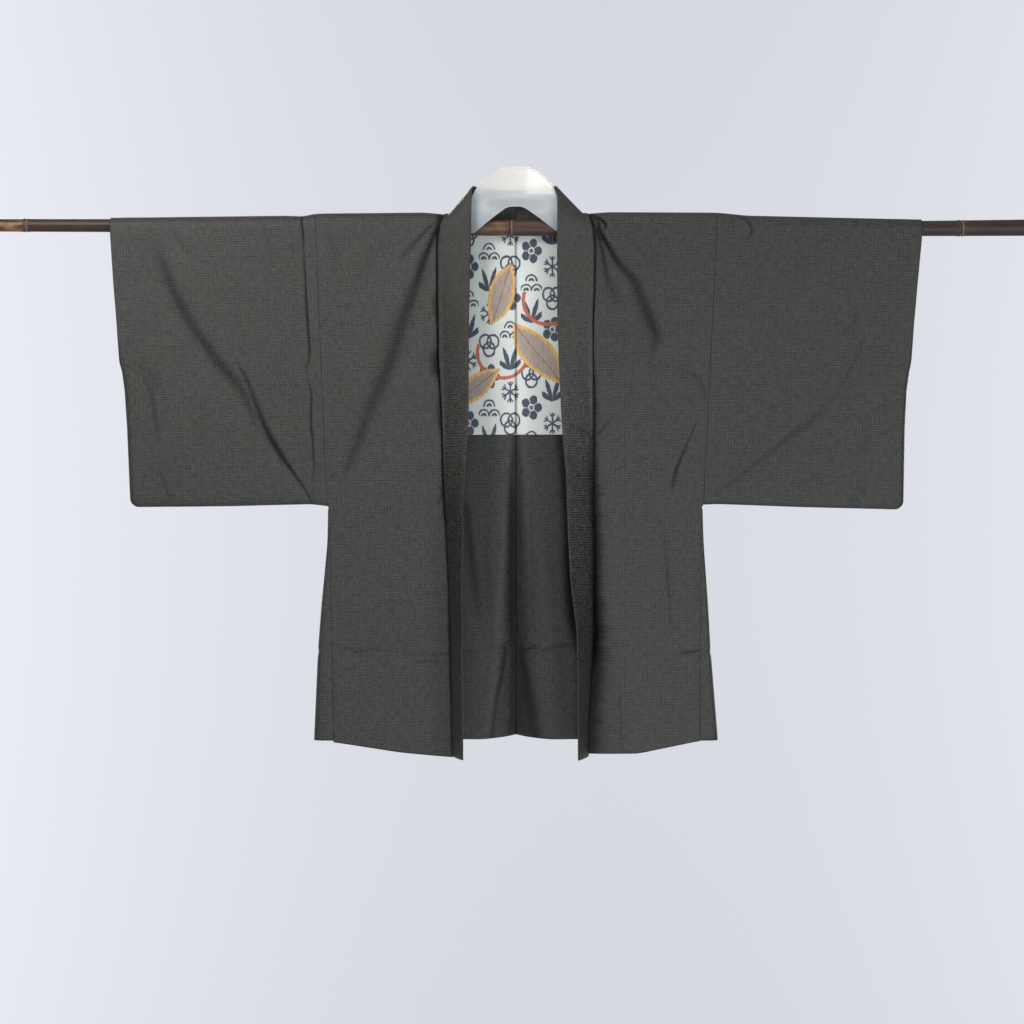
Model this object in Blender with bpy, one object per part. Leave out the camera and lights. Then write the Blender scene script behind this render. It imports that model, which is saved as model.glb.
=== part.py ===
"""Haori jacket threaded by its sleeves on a bamboo rod, with a collar keeper in its neck.

The origin is on the rod's axis at the jacket's centre.  The jacket faces -Y and +Z is up.
Left and right are the sides seen from the front.  Tables are in millimetres, and their
x is the distance from the centre line, on either side.
"""
import math

import bmesh
import bpy
from mathutils import Vector

MM = 0.001
CLOTH = 1.2 * MM            # wall of the outer cloth, which is doubled
LINING = 1.0 * MM
LINING_EASE = 0.1 * MM      # slack of the lining where the back curves
SEAM_GAP = 0.3 * MM         # between pieces that are sewn together
LAYER_PITCH = 1.7 * MM      # from the collar's inner layer to its folded-over flap
SIDES = {"left": -1, "right": 1}

# Jacket
HALF_GAP = 16.5             # half the depth between front and back where they hang from the rod
FRONT_FALL = 1.5            # powers by which front and back close in towards their side seams
BACK_FALL = 2.5
ARMHOLE_END = -457.0        # height of the armhole's lower end
GUSSET_START = -463.5       # the gusset begins below it
CUFF_OPENING = 268.0        # length of the open part of the sleeve's outer edge
SLEEVE_CORNER = 14.0        # radius of the sleeve's lower outer corner
EDGE_CLOSE = 8.0            # how soon a sewn edge closes the two layers of a sleeve
FOLD_SHARE = 0.6            # no fold takes more than this of a sleeve's half gap
BACK_NECK_HALF = 97.0       # half the width of the neck cut in the back
BACK_NECK_RISE = 5.0        # the back's neck edge stands this far above the rod's axis
BACK_NECK_CORNER = 20.0     # and comes down to it over this width at each end

# Collar and gusset
COLLAR_WIDTH = {"left": 58.0, "right": 63.0}    # flap from fold to free edge
COLLAR_CLEARANCE = 0.8      # from the collar's sewn line to the panel's edge
COLLAR_SETBACK = 0.5        # from the sewn line to the inner layer's cut edge
COLLAR_MERGE = 30.0         # the sewn line leaves the neck's end over this height
LEAST_LAP = 0.01            # where the flap ends on the sewn line
CORNER_LIMIT = 0.5          # a mitre reaches at most one over this
GUSSET_CLEARANCE = 0.2      # from the gusset's sewn line to its cloth
GUSSET_PROFILE = [(0.5, 0.75), (0.8, 0.32), (1, 0)]     # parts of its half width and half gap

# Rod: length, and its girth and the height of its axis along it.
ROD_END = 900.0
ROD_SIDES = 24
ROD = [  # x, radius, axis height
    (-900, 10.5, 4.8),
    (-669, 10.8, 4.2),
    (-330, 11.6, 1.6),
    (0, 13.0, 0.0),
    (330, 12.6, -0.6),
    (669, 12.5, -0.8),
    (900, 13.8, 1.0),
]
ROD_NODES = [-809, -412, -9, 362, 735]     # x of the bamboo's rings
NODE_RISE = 0.9
NODE_HALF = 3.0

# Height of the cloth over the rod, from the neck out to the cuff.
SHOULDER = [  # x, left, right
    (96, 20.5, 21.0),
    (115, 21.5, 22.5),
    (150, 25.0, 25.6),
    (315, 23.5, 25.0),
    (335, 22.8, 24.6),
    (352, 18.6, 23.0),
    (380, 19.8, 20.0),
    (669, 16.5, 13.4),
]

# Sewn line down the body's side: the armhole, then the gusset's seam to the hem.
SIDE_SEAM = [  # z, left, right
    (0, 329.2, 330.8),
    (ARMHOLE_END, 312.7, 309.4),
    (ARMHOLE_END - 6, 308.2, 305.8),
    (-480, 307.5, 305.3),
    (-846, 301.1, 302.8),
]

# Half the depth between front and back along that line.
SIDE_GAP = [  # z, half gap
    (0, 16.0),
    (-100, 14.0),
    (-300, 9.5),
    (ARMHOLE_END, 6.5),
    (-600, 7.5),
    (-846, 9.5),
]

# Folded outer edge of the gusset.
GUSSET_FOLD = [  # z, left, right
    (-463, 309.9, 307.8),
    (-520, 311.0, 309.6),
    (-619, 320.5, 316.7),
    (-694, 326.3, 320.8),
    (-846, 333.0, 333.0),
]

# Hem, measured across each panel: 0 at the collar or the centre back, 1 at the side seam.
FRONT_HEM = [  # across, left, right
    (0, -872.5, -867.0),
    (0.2, -869.5, -867.2),
    (0.45, -865.0, -867.0),
    (1, -848.5, -846.5),
]
BACK_HEM = [  # x, z
    (0, -842.0),
    (18, -844.0),
    (60, -846.5),
    (330, -845.5),
]

# The centre back seam stands out behind the jacket, more and wider towards the hem, and its
# sides fall off by a power.
RIDGE_FALL = 1.4
BACK_RIDGE = [  # z, rise, half width
    (-250, 0.0, 18),
    (-400, 11.0, 19),
    (-500, 19.0, 22),
    (-700, 29.0, 40),
    (-846, 36.0, 58),
]

# Sleeve: outer edge, how far it stands open there, and its lower edge.
CUFF = [  # z, left, right
    (14, 669.5, 669.7),
    (-20, 667.6, 668.0),
    (-85, 663.7, 662.0),
    (-160, 657.9, 655.6),
    (-222, 654.0, 651.6),
    (-238, 649.6, 648.4),
    (-270, 646.1, 645.0),
    (-330, 642.1, 641.9),
    (-442, 637.2, 639.8),
    (-465, 636.3, 639.2),
]
CUFF_GAP = [  # z, half gap
    (0, 14.5),
    (-100, 13.0),
    (-150, 11.0),
    (-200, 8.0),
    (-240, 4.0),
    (-CUFF_OPENING, 0.0),
]
SLEEVE_BOTTOM = [  # across, left, right
    (0, -459.0, -456.4),
    (0.08, -455.6, -455.4),
    (0.5, -459.0, -460.5),
    (1, -460.5, -464.5),
]

# Collar round the neck, centre back to the chest: where its inner layer is sewn on, its
# fold, and the free edge of its flap.  Angles go round the cloth over the rod, from 0 at
# the front to 180 at the back, and fold_x is a part of the fold's half spread.
FOLD_HALF_SPREAD = {"left": 72.8, "right": 67.2}
NECK = [  # seam x, seam angle, seam lift, fold x, fold y, fold z, edge x, edge angle
    (0, 180, 6.5, 0.00, 20.5, 67.0, 0, 184),
    (35, 180, 6.5, 0.37, 19.0, 67.0, 36, 184),
    (66, 180, 6.5, 0.67, 14.5, 67.8, 69, 185),
    (88, 180, 6.5, 0.86, 7.5, 68.8, 97, 180),
    (98.5, 150, 0, 0.93, 2.0, 69.4, 105, 150),
    (103, 120, 0, 0.955, -4.0, 69.0, 111, 120),
    (107, 90, 0, 0.975, -11.0, 64.2, 115, 90),
    (110.7, 60, 0, 0.985, -17.0, 54.5, 119, 60),
    (114, 30, 0, 0.995, -22.5, 39.5, 122.5, 30),
    (117.5, 0, 0, 1.00, -27.0, 19.5, 126.0, 0),
]

# Collar down the fronts: free edge, fold and how far the flap laps over the front panel.
# The fold comes forward as the two lines draw together, because the width stays the same.
COLLAR_FRONT = [  # z, left edge, left fold, right edge, right fold, lap, fold above seam
    (-30, 129.5, 72.9, 129.5, 66.8, 8, 15),
    (-62, 129.5, 74.0, 129.3, 66.8, 8, 9),
    (-93, 129.4, 74.8, 128.9, 66.8, 8, 4),
    (-156, 128.5, 76.0, 126.6, 66.8, 8, 0),
    (-217, 127.5, 76.5, 127.0, 69.0, 8, 0),
    (-316, 121.9, 76.5, 127.9, 73.2, 6, 0),
    (-408, 119.6, 82.2, 126.7, 80.6, 3, 0),
    (-466, 116.3, 85.8, 127.0, 82.4, 1, 0),
    (-501, 113.0, 85.6, 127.6, 83.4, 0, 0),
    (-582, 109.2, 87.3, 127.6, 87.7, 0, 0),
    (-662, 106.9, 86.2, 127.0, 97.4, 0, 0),
    (-704, 105.8, 86.9, 125.2, 98.4, 0, 0),
    (-783, 104.0, 85.5, 120.9, 98.9, 0, 0),
    (-871, 102.5, 85.2, 117.8, 99.8, 0, 0),
]
COLLAR_STATIONS = [-30, -62, -93, -124, -156, -187, -217, -250, -283, -316, -362, -408, -437,
                   -466, -501, -541, -582, -622, -662, -704, -743, -783, -826, -871]

# Largest folds: troughs that the weight of the cloth drags from collar, rod and seam.
FOLDS = [  # piece, depth, half width, (x, z) along the trough
    ("front_left", 6.0, 15, [(128, -10), (143, -16), (197, -154), (237, -252), (275, -367)]),
    ("front_left", 2.5, 16, [(275, -367), (292, -430), (300, -520)]),
    ("front_right", 6.0, 14, [(130, -6), (154, -34), (195, -102), (222, -154), (226, -215)]),
    ("front_right", 3.5, 12, [(300, -327), (270, -398), (257, -425)]),
    ("front_right", 3.5, 15, [(119, -340), (132, -480), (135, -700), (128, -840)]),
    ("back_left", 5.0, 18, [(120, -12), (175, -120), (232, -260), (268, -380)]),
    ("back_right", 5.0, 18, [(122, -14), (186, -140), (240, -270), (262, -360)]),
    ("sleeve_front_left", 6.0, 15, [(579, -37), (570, -103), (529, -172), (470, -251),
                                    (416, -348), (373, -398), (342, -448)]),
    ("sleeve_front_right", 4.5, 20, [(323, -446), (370, -408), (408, -379), (498, -313)]),
    ("sleeve_back_left", 5.0, 18, [(560, -40), (540, -130), (470, -230), (400, -330),
                                   (350, -430)]),
    ("sleeve_back_right", 5.0, 18, [(570, -50), (550, -120), (480, -240), (400, -340),
                                    (345, -430)]),
]
FOLD_CLEAR_OF_ROD = (20, 70)    # a fold fades in between these depths below the axis
FOLD_CLEAR_OF_SEAM = 22.0

# Rows of the cloth grids, top to bottom, and its columns as parts of a panel's width.
ARCH_ANGLES = [30, 60, 90, 120, 150]
GUSSET_ROWS = [GUSSET_START, -480, -520, -560, -600, -650, -700, -770, -846]
FRONT_ROWS = [0, -25, -60, -100, -140, -180, -217, -255, -300, -345, -390, -425, ARMHOLE_END,
              ARMHOLE_END - 6, -480, -520, -560, -600, -650, -700, -760, -810, -860]
LINING_END = -341
BACK_ROWS = [0, -30, -100, -160, -220, -280, LINING_END, -400, ARMHOLE_END, ARMHOLE_END - 6, -540,
             -600, -700, -790, -860]
HEM_ROWS_START = -700.0         # below this the rows fan out to the slope of the hem
BACK_SEAM_FLAT = 1.5            # half width of the flat that the centre back seam makes
BACK_NECK_COLUMNS = [0, BACK_SEAM_FLAT, 8, 18, 40, 68]
PANEL_COLUMNS = [0, 0.12, 0.26, 0.42, 0.58, 0.74, 0.88, 1]
SLEEVE_ROWS = [0, -25, -60, -100, -150, -200, -222, -238, -CUFF_OPENING, -300, -350, -400]
SLEEVE_LAST_ROWS = [SLEEVE_CORNER * 1.6, 3.0, 0.0]     # heights above the lower edge
SLEEVE_COLUMNS = [0, 0.1, 0.26, 0.42, 0.58, 0.74, 0.88]
SLEEVE_EDGE_COLUMNS = [SLEEVE_CORNER, 3.0, 0.0]        # distances in from the outer edge

# Collar keeper: a bent leaf of clear plastic, as outlines against x.
KEEPER_WALL = 1.2 * MM
KEEPER_HALF = 77.0
KEEPER_TOP = [  # x from left to right, z
    (-77, 38.0),
    (-70, 61.0),
    (-66, 72.0),
    (-45.5, 92.0),
    (-24, 106.0),
    (22, 106.0),
    (37, 96.5),
    (61, 72.5),
    (65, 61.0),
    (72, 38.0),
]
KEEPER_BOTTOM = [
    (-77, -10.4),
    (-69, -10.4),
    (-17, 32.5),
    (-10, 35.5),
    (9, 35.5),
    (15, 32.5),
    (67, -7.5),
    (72, -7.5),
]
KEEPER_COLUMNS = [-77, -70, -66, -56, -45.5, -35, -24, -17, -10, 0, 9, 15, 22, 30, 37, 49, 61, 66,
                  72]
KEEPER_ROWS = 6
KEEPER_FRONT = 14.4             # its legs pass this far in front of the rod's axis
KEEPER_BEND = (13.5, 62.0)      # between these heights it turns back
KEEPER_LEAN = 10.0              # above the rod it leans back by this much,
KEEPER_BOW = 23.0               # and its middle bows back further,
KEEPER_FALL = 1.5               # less towards its sides by this power


def lookup(table, key, column):
    """Read a column of a table, straight between its rows; keys may rise or fall."""
    rows = sorted(table)
    if key <= rows[0][0]:
        return rows[0][column]
    for low, high in zip(rows, rows[1:]):
        if key <= high[0]:
            part = (key - low[0]) / (high[0] - low[0])
            return low[column] + part * (high[column] - low[column])
    return rows[-1][column]


def ease(value, start, end):
    """Rise smoothly from 0 at start to 1 at end."""
    part = min(1.0, max(0.0, (value - start) / (end - start)))
    return part * part * (3 - 2 * part)


def closing(distance):
    """How far two layers have parted, at a distance from the edge that joins them."""
    return 1 - math.exp(-distance / EDGE_CLOSE)


def side_column(side):
    """Tables hold the left side in column 1 and the right side in column 2."""
    return 1 if side == "left" else 2


def fold_depth(piece, x, z, seam_distance):
    """Depth of a panel's troughs at a point, none near the rod or the side seam."""
    total = 0.0
    for owner, depth, half_width, route in FOLDS:
        if owner != piece:
            continue
        nearest = math.inf
        for (ax, az), (bx, bz) in zip(route, route[1:]):
            step_x, step_z = bx - ax, bz - az
            along = ((x - ax) * step_x + (z - az) * step_z) / (step_x ** 2 + step_z ** 2)
            along = min(1.0, max(0.0, along))
            away = math.hypot(x - ax - along * step_x, z - az - along * step_z)
            nearest = min(nearest, away)
        total += depth * math.exp(-(nearest / half_width) ** 2)
    total *= ease(-z, *FOLD_CLEAR_OF_ROD)
    return total * ease(seam_distance, 0, FOLD_CLEAR_OF_SEAM)


def material(name, colour, roughness, alpha=1.0):
    made = bpy.data.materials.new(name)
    made.use_nodes = True
    shader = made.node_tree.nodes["Principled BSDF"]
    shader.inputs["Base Color"].default_value = (*colour, 1)
    shader.inputs["Roughness"].default_value = roughness
    shader.inputs["Alpha"].default_value = alpha
    return made


def add_object(name, mesh_data, finish):
    made = bpy.data.objects.new(name, mesh_data)
    bpy.context.scene.collection.objects.link(made)
    mesh_data.materials.append(finish)
    return made


def cloth_object(name, faces, thickness, finish):
    """Make a wall about a middle surface; faces are tuples of points, shared by position."""
    bm = bmesh.new()
    corners = {}
    for face in faces:
        loop = []
        for point in face:
            key = tuple(round(value, 7) for value in point)
            if key not in corners:
                corners[key] = bm.verts.new(point)
            if corners[key] not in loop:
                loop.append(corners[key])
        if len(loop) > 2:
            bm.faces.new(loop)
    bmesh.ops.recalc_face_normals(bm, faces=bm.faces)
    mesh_data = bpy.data.meshes.new(name)
    bm.to_mesh(mesh_data)
    bm.free()
    made = add_object(name, mesh_data, finish)
    wall = made.modifiers.new("wall", "SOLIDIFY")
    wall.thickness = thickness
    wall.offset = 0
    wall.use_even_offset = True
    wall.use_quality_normals = True
    return made


def grid_faces(rows):
    """Quads between neighbouring rows of points of equal length."""
    faces = []
    for upper, lower in zip(rows, rows[1:]):
        for index in range(len(upper) - 1):
            faces.append((upper[index], lower[index], lower[index + 1], upper[index + 1]))
    return faces


def arch_point(x, depth, angle, side):
    """A point of the cloth over the rod, from the front (0 degrees) to the back (180)."""
    turn = math.radians(angle)
    rise = lookup(SHOULDER, x, side_column(side)) if 0 < angle < 180 else depth
    around = math.cos(math.radians(min(180, max(0, angle))))
    return Vector((SIDES[side] * x, -depth * around, rise * math.sin(turn))) * MM


def hem_row(row, hem):
    """Rows near the hem fan out to its slope."""
    if row >= HEM_ROWS_START:
        return row
    part = (row - HEM_ROWS_START) / (FRONT_ROWS[-1] - HEM_ROWS_START)
    return HEM_ROWS_START + part * (hem - HEM_ROWS_START)


def collar_line(side, z):
    """Free edge, sewn line and fold of the front collar at a height, and the fold's reach."""
    first = 1 if side == "left" else 3
    edge = lookup(COLLAR_FRONT, z, first)
    fold = lookup(COLLAR_FRONT, z, first + 1)
    lap = lookup(COLLAR_FRONT, z, 5)
    width = COLLAR_WIDTH[side] - lap
    seam = edge - lap
    reach = math.sqrt(max(0.0, width ** 2 - (seam - fold) ** 2))
    return edge, seam, fold, reach


def front_inner_edge(side, z):
    """Edge of the front panel under the collar."""
    at_rod = NECK[-1][0]
    seam = collar_line(side, z)[1]
    return at_rod + (seam - at_rod) * ease(-z, 0, COLLAR_MERGE) + COLLAR_CLEARANCE


def panel_side(side, z):
    """Side edge of the body panel at a height."""
    return lookup(SIDE_SEAM, z, side_column(side)) - SEAM_GAP / MM / 2


def front_point(side, across, row):
    hem = lookup(FRONT_HEM, across, side_column(side))
    z = hem_row(row, hem)
    inner = front_inner_edge(side, z)
    outer = panel_side(side, z)
    x = inner + across * (outer - inner)
    side_gap = lookup(SIDE_GAP, z, 1)
    depth = side_gap + (HALF_GAP - side_gap) * (1 - across) ** FRONT_FALL
    depth -= fold_depth("front_" + side, x, z, outer - x)
    return Vector((SIDES[side] * x, -depth, z)) * MM


def back_point(side, x, across, row):
    """The back is measured from the centre by x where it lies under the neck."""
    if across is not None:
        x = BACK_NECK_HALF + across * (panel_side(side, row) - BACK_NECK_HALF)
    z = hem_row(row, lookup(BACK_HEM, x, 1))
    outer = panel_side(side, z)
    if row == 0:
        z = BACK_NECK_RISE * ease(BACK_NECK_HALF - x, 0, BACK_NECK_CORNER)
    side_gap = lookup(SIDE_GAP, z, 1)
    depth = side_gap + (HALF_GAP - side_gap) * (1 - (x / outer) ** BACK_FALL)
    depth -= fold_depth("back_" + side, x, z, outer - x)
    from_seam = max(0.0, x - BACK_SEAM_FLAT) / lookup(BACK_RIDGE, z, 2)
    depth += lookup(BACK_RIDGE, z, 1) * max(0.0, 1 - from_seam) ** RIDGE_FALL
    return Vector((SIDES[side] * max(x, SEAM_GAP / MM / 2), depth, z)) * MM


def back_rows(side):
    rows = []
    for row in BACK_ROWS:
        points = [back_point(side, x, None, row) for x in BACK_NECK_COLUMNS]
        points += [back_point(side, None, across, row) for across in PANEL_COLUMNS]
        rows.append(points)
    return rows


def build_body(side, finish):
    """One length of cloth: up the front, over the rod and down the back."""
    front = [[front_point(side, across, row) for across in PANEL_COLUMNS] for row in FRONT_ROWS]
    back = back_rows(side)
    over_rod = [front[0]]
    for angle in ARCH_ANGLES:
        start, end = front_inner_edge(side, 0), BACK_NECK_HALF
        inner = start + (end - start) * angle / 180
        width = panel_side(side, 0) - inner
        over_rod.append([arch_point(inner + across * width, HALF_GAP, angle, side)
                         for across in PANEL_COLUMNS])
    over_rod.append(back[0][len(BACK_NECK_COLUMNS):])
    faces = grid_faces(front) + grid_faces(over_rod) + grid_faces(back)
    cloth_object("body_" + side, faces, CLOTH, finish)


def build_lining(side, finish):
    """Upper back lining, made from the back's own points moved in towards the wearer."""
    rows = back_rows(side)[:BACK_ROWS.index(LINING_END) + 1]
    inset = CLOTH / 2 + SEAM_GAP + LINING_EASE + LINING / 2
    moved = []
    for index, row in enumerate(rows):
        above, below = rows[max(0, index - 1)], rows[min(len(rows) - 1, index + 1)]
        line = []
        for column, point in enumerate(row):
            before, after = row[max(0, column - 1)], row[min(len(row) - 1, column + 1)]
            normal = (after - before).cross(below[column] - above[column]).normalized()
            if normal.y > 0:
                normal.negate()
            if column == 0:
                normal = Vector((0, normal.y, normal.z)).normalized()
            line.append(point + normal * inset)
        moved.append(line)
    cloth_object("lining_" + side, grid_faces(moved), LINING, finish)


def sleeve_point(side, layer, column, row, last_row):
    """A point of the front (-1) or back (1) layer; last_row is a height over the lower edge."""
    table_column = side_column(side)

    def place(z):
        inner = lookup(SIDE_SEAM, max(z, ARMHOLE_END), table_column) + SEAM_GAP / MM / 2
        outer = lookup(CUFF, z, table_column)
        x = inner + column * (outer - inner) if column < 1 else outer - (column - 1)
        return inner, outer, x

    z = row if row is not None else SLEEVE_BOTTOM[0][table_column]
    inner, outer, x = place(z)
    bottom = lookup(SLEEVE_BOTTOM, (x - inner) / (outer - inner), table_column)
    if row is None:
        z = bottom + last_row
        inner, outer, x = place(z)
    edge_distance = outer - x
    bottom_distance = z - bottom
    if edge_distance < SLEEVE_CORNER and bottom_distance < SLEEVE_CORNER:
        across = SLEEVE_CORNER - edge_distance
        down = SLEEVE_CORNER - bottom_distance
        shrink = max(across, down) / math.hypot(across, down) if across and down else 1.0
        x = outer - SLEEVE_CORNER + across * shrink
        z = bottom + SLEEVE_CORNER - down * shrink
    top_gap = HALF_GAP + (lookup(CUFF_GAP, 0, 1) - HALF_GAP) * (x - inner) / (outer - inner)
    gap = lookup(SIDE_GAP, z, 1) * top_gap / HALF_GAP
    edge_gap = min(gap, lookup(CUFF_GAP, z, 1))
    gap = edge_gap + (gap - edge_gap) * closing(edge_distance)
    gap *= closing(bottom_distance)
    name = "sleeve_front_" if layer < 0 else "sleeve_back_"
    held = closing(edge_distance) * closing(bottom_distance)
    gap -= held * min(fold_depth(name + side, x, z, x - inner), FOLD_SHARE * gap)
    return Vector((SIDES[side] * x, layer * gap, z)) * MM


def build_sleeve(side, finish):
    """A flat bag folded over the rod, open to the body and at the upper part of the cuff."""
    columns = SLEEVE_COLUMNS + [1 + distance for distance in SLEEVE_EDGE_COLUMNS]
    places = [(row, None) for row in SLEEVE_ROWS] + [(None, height) for height in SLEEVE_LAST_ROWS]
    front, back = [[[sleeve_point(side, layer, column, row, last) for column in columns]
                    for row, last in places] for layer in (-1, 1)]
    over_rod = [front[0]]
    for angle in ARCH_ANGLES:
        over_rod.append([arch_point(abs(point.x) / MM, -point.y / MM, angle, side)
                         for point in front[0]])
    over_rod.append(back[0])
    faces = grid_faces(front) + grid_faces(over_rod) + grid_faces(back)
    cloth_object("sleeve_" + side, faces, CLOTH, finish)


def build_gusset(side, finish):
    """Narrow wedge between front and back, folded outwards along its middle."""
    rows = []
    for z in GUSSET_ROWS:
        seam = lookup(SIDE_SEAM, z, side_column(side)) + SEAM_GAP / MM / 2
        fold = lookup(GUSSET_FOLD, z, side_column(side))
        gap = lookup(SIDE_GAP, z, 1)
        half_width = fold - seam
        first_out, first_part = GUSSET_PROFILE[0]
        slope = (1 - first_part) * gap / (first_out * half_width)
        start = CLOTH / MM / 2 * slope / math.hypot(1, slope) + GUSSET_CLEARANCE
        profile = [(start, 1)] + [(half_width * out, part) for out, part in GUSSET_PROFILE]
        front = [Vector((SIDES[side] * (seam + out), -gap * part, z)) * MM
                 for out, part in profile]
        back = [Vector((point.x, -point.y, point.z)) for point in reversed(front[:-1])]
        rows.append(front + back)
    cloth_object("gusset_" + side, grid_faces(rows), CLOTH, finish)


def collar_stations(side):
    """Sewn line, fold and free edge, from the centre back to the hem."""
    sign = SIDES[side]
    stations = []
    for seam_x, seam_angle, lift, fold_x, fold_y, fold_z, edge_x, edge_angle in NECK:
        seam = arch_point(seam_x, HALF_GAP, seam_angle, side) / MM
        seam.z += lift
        edge = arch_point(edge_x, HALF_GAP, edge_angle, side) / MM
        fold = Vector((fold_x * FOLD_HALF_SPREAD[side], fold_y, fold_z))
        stations.append([seam, fold, edge])
    for z in COLLAR_STATIONS:
        edge_x, seam_x, fold_x, reach = collar_line(side, z)
        raised = lookup(COLLAR_FRONT, z, 6)
        seam = Vector((seam_x, -HALF_GAP, z))
        fold = Vector((fold_x, -HALF_GAP - reach, z + raised))
        edge = Vector((edge_x + LEAST_LAP, -HALF_GAP, z))
        stations.append([seam, fold, edge])
    for station in stations:
        for point in station:
            point.x = sign * max(abs(point.x), SEAM_GAP / MM / 2)
    return stations


def build_collar(side, finish):
    """Half of the doubled band: an inner layer sewn to the body and a flap folded outwards."""
    stations = collar_stations(side)
    wall = CLOTH / MM / 2
    pitch = LAYER_PITCH / MM
    middle = pitch / 2
    fold_radius = middle + wall
    sections = []
    for index, (seam, fold, edge) in enumerate(stations):
        before, after = stations[max(0, index - 1)], stations[min(len(stations) - 1, index + 1)]
        run = (after[0] + after[1] - before[0] - before[1]).normalized()
        reach = (fold - seam).normalized()
        out = run.cross(reach).normalized() * -SIDES[side]
        lap = seam - edge
        panel_out = Vector((0, -1, 0))
        if lap.length > 2 * LEAST_LAP:
            lap_run = (after[2] - before[2]).normalized()
            panel_out = lap_run.cross(lap.normalized()).normalized() * -SIDES[side]
        corner = (out + panel_out).normalized()
        corner *= 1 / max(CORNER_LIMIT, corner.dot(out))
        turn = fold - reach * fold_radius
        arc = [turn + out * (middle - fold_radius * math.cos(math.radians(angle)))
               + reach * fold_radius * math.sin(math.radians(angle)) for angle in (45, 90, 135)]
        sections.append([
            seam + reach * COLLAR_SETBACK - out * wall,
            turn - out * wall,
            *arc,
            turn + out * (pitch + wall),
            seam + corner * (pitch + wall),
            edge + panel_out * (pitch + wall),
            edge + panel_out * (pitch - wall),
            seam + corner * (pitch - wall),
            turn + out * (pitch - wall),
            turn + out * middle + reach * (middle - wall),
            turn + out * wall,
            seam + reach * COLLAR_SETBACK + out * wall,
        ])
    bm = bmesh.new()
    rings = [[bm.verts.new(point * MM) for point in section] for section in sections]
    count = len(rings[0])
    for ring, following in zip(rings, rings[1:]):
        for index in range(count):
            ahead = (index + 1) % count
            bm.faces.new((ring[index], ring[ahead], following[ahead], following[index]))
    bm.faces.new(rings[0])
    bm.faces.new(rings[-1])
    bmesh.ops.recalc_face_normals(bm, faces=bm.faces)
    bmesh.ops.triangulate(bm, faces=bm.faces)
    mesh_data = bpy.data.meshes.new("collar_" + side)
    bm.to_mesh(mesh_data)
    bm.free()
    add_object("collar_" + side, mesh_data, finish)


def build_rod(finish):
    """Bamboo rod with a raised ring at each node and plain sawn ends."""
    places = [-ROD_END, ROD_END] + [row[0] for row in ROD[1:-1]]
    rises = {}
    for node in ROD_NODES:
        for offset, rise in ((-NODE_HALF, 0), (-NODE_HALF / 3, NODE_RISE), (NODE_HALF / 3, NODE_RISE),
                             (NODE_HALF, 0)):
            places.append(node + offset)
            rises[node + offset] = rise
    bm = bmesh.new()
    rings = []
    for x in sorted(set(places)):
        radius = lookup(ROD, x, 1) + rises.get(x, 0)
        height = lookup(ROD, x, 2)
        ring = []
        for index in range(ROD_SIDES):
            turn = 2 * math.pi * index / ROD_SIDES
            point = Vector((x, radius * math.sin(turn), height + radius * math.cos(turn)))
            ring.append(bm.verts.new(point * MM))
        rings.append(ring)
    for ring, following in zip(rings, rings[1:]):
        for index in range(ROD_SIDES):
            ahead = (index + 1) % ROD_SIDES
            bm.faces.new((ring[index], following[index], following[ahead], ring[ahead]))
    bm.faces.new(rings[0])
    bm.faces.new(rings[-1])
    bmesh.ops.recalc_face_normals(bm, faces=bm.faces)
    mesh_data = bpy.data.meshes.new("rod")
    bm.to_mesh(mesh_data)
    bm.free()
    made = add_object("rod", mesh_data, finish)
    made.data.shade_smooth()
    made.data.set_sharp_from_angle(angle=math.radians(50))


def keeper_depth(x, z):
    """The leaf passes in front of the rod at its sides and bows back above it."""
    bow = math.cos(math.pi / 2 * min(1.0, abs(x) / KEEPER_HALF)) ** KEEPER_FALL
    return -KEEPER_FRONT + ease(z, *KEEPER_BEND) * (KEEPER_LEAN + KEEPER_BOW * bow)


def build_keeper(finish):
    rows = []
    for row in range(KEEPER_ROWS + 1):
        points = []
        for x in KEEPER_COLUMNS:
            low, high = lookup(KEEPER_BOTTOM, x, 1), lookup(KEEPER_TOP, x, 1)
            z = high + (low - high) * row / KEEPER_ROWS
            points.append(Vector((x, keeper_depth(x, z), z)) * MM)
        rows.append(points)
    cloth_object("collar_keeper", grid_faces(rows), KEEPER_WALL, finish)


for old in list(bpy.data.objects):
    bpy.data.objects.remove(old, do_unlink=True)

silk = material("olive_grey_silk", (0.068, 0.068, 0.064), 0.85)
collar_silk = material("collar_silk", (0.062, 0.062, 0.060), 0.85)
lining_silk = material("pale_lining_silk", (0.60, 0.63, 0.62), 0.5)
bamboo = material("smoked_bamboo", (0.09, 0.05, 0.035), 0.35)
plastic = material("milky_plastic", (0.75, 0.77, 0.78), 0.3, alpha=0.7)

for side_name in SIDES:
    build_body(side_name, silk)
    build_sleeve(side_name, silk)
    build_gusset(side_name, silk)
    build_collar(side_name, collar_silk)
    build_lining(side_name, lining_silk)
build_rod(bamboo)
build_keeper(plastic)
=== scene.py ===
"""Haori jacket threaded by its sleeves on a smoked bamboo rod, with a collar keeper in its neck.

The origin is on the rod's axis at the jacket's centre, the front faces -Y and +Z is up.
Left and right are the sides seen from the front.  Sizes in tables are in millimetres, and
their x is the distance from the centre line on either side.
"""
import math

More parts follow.
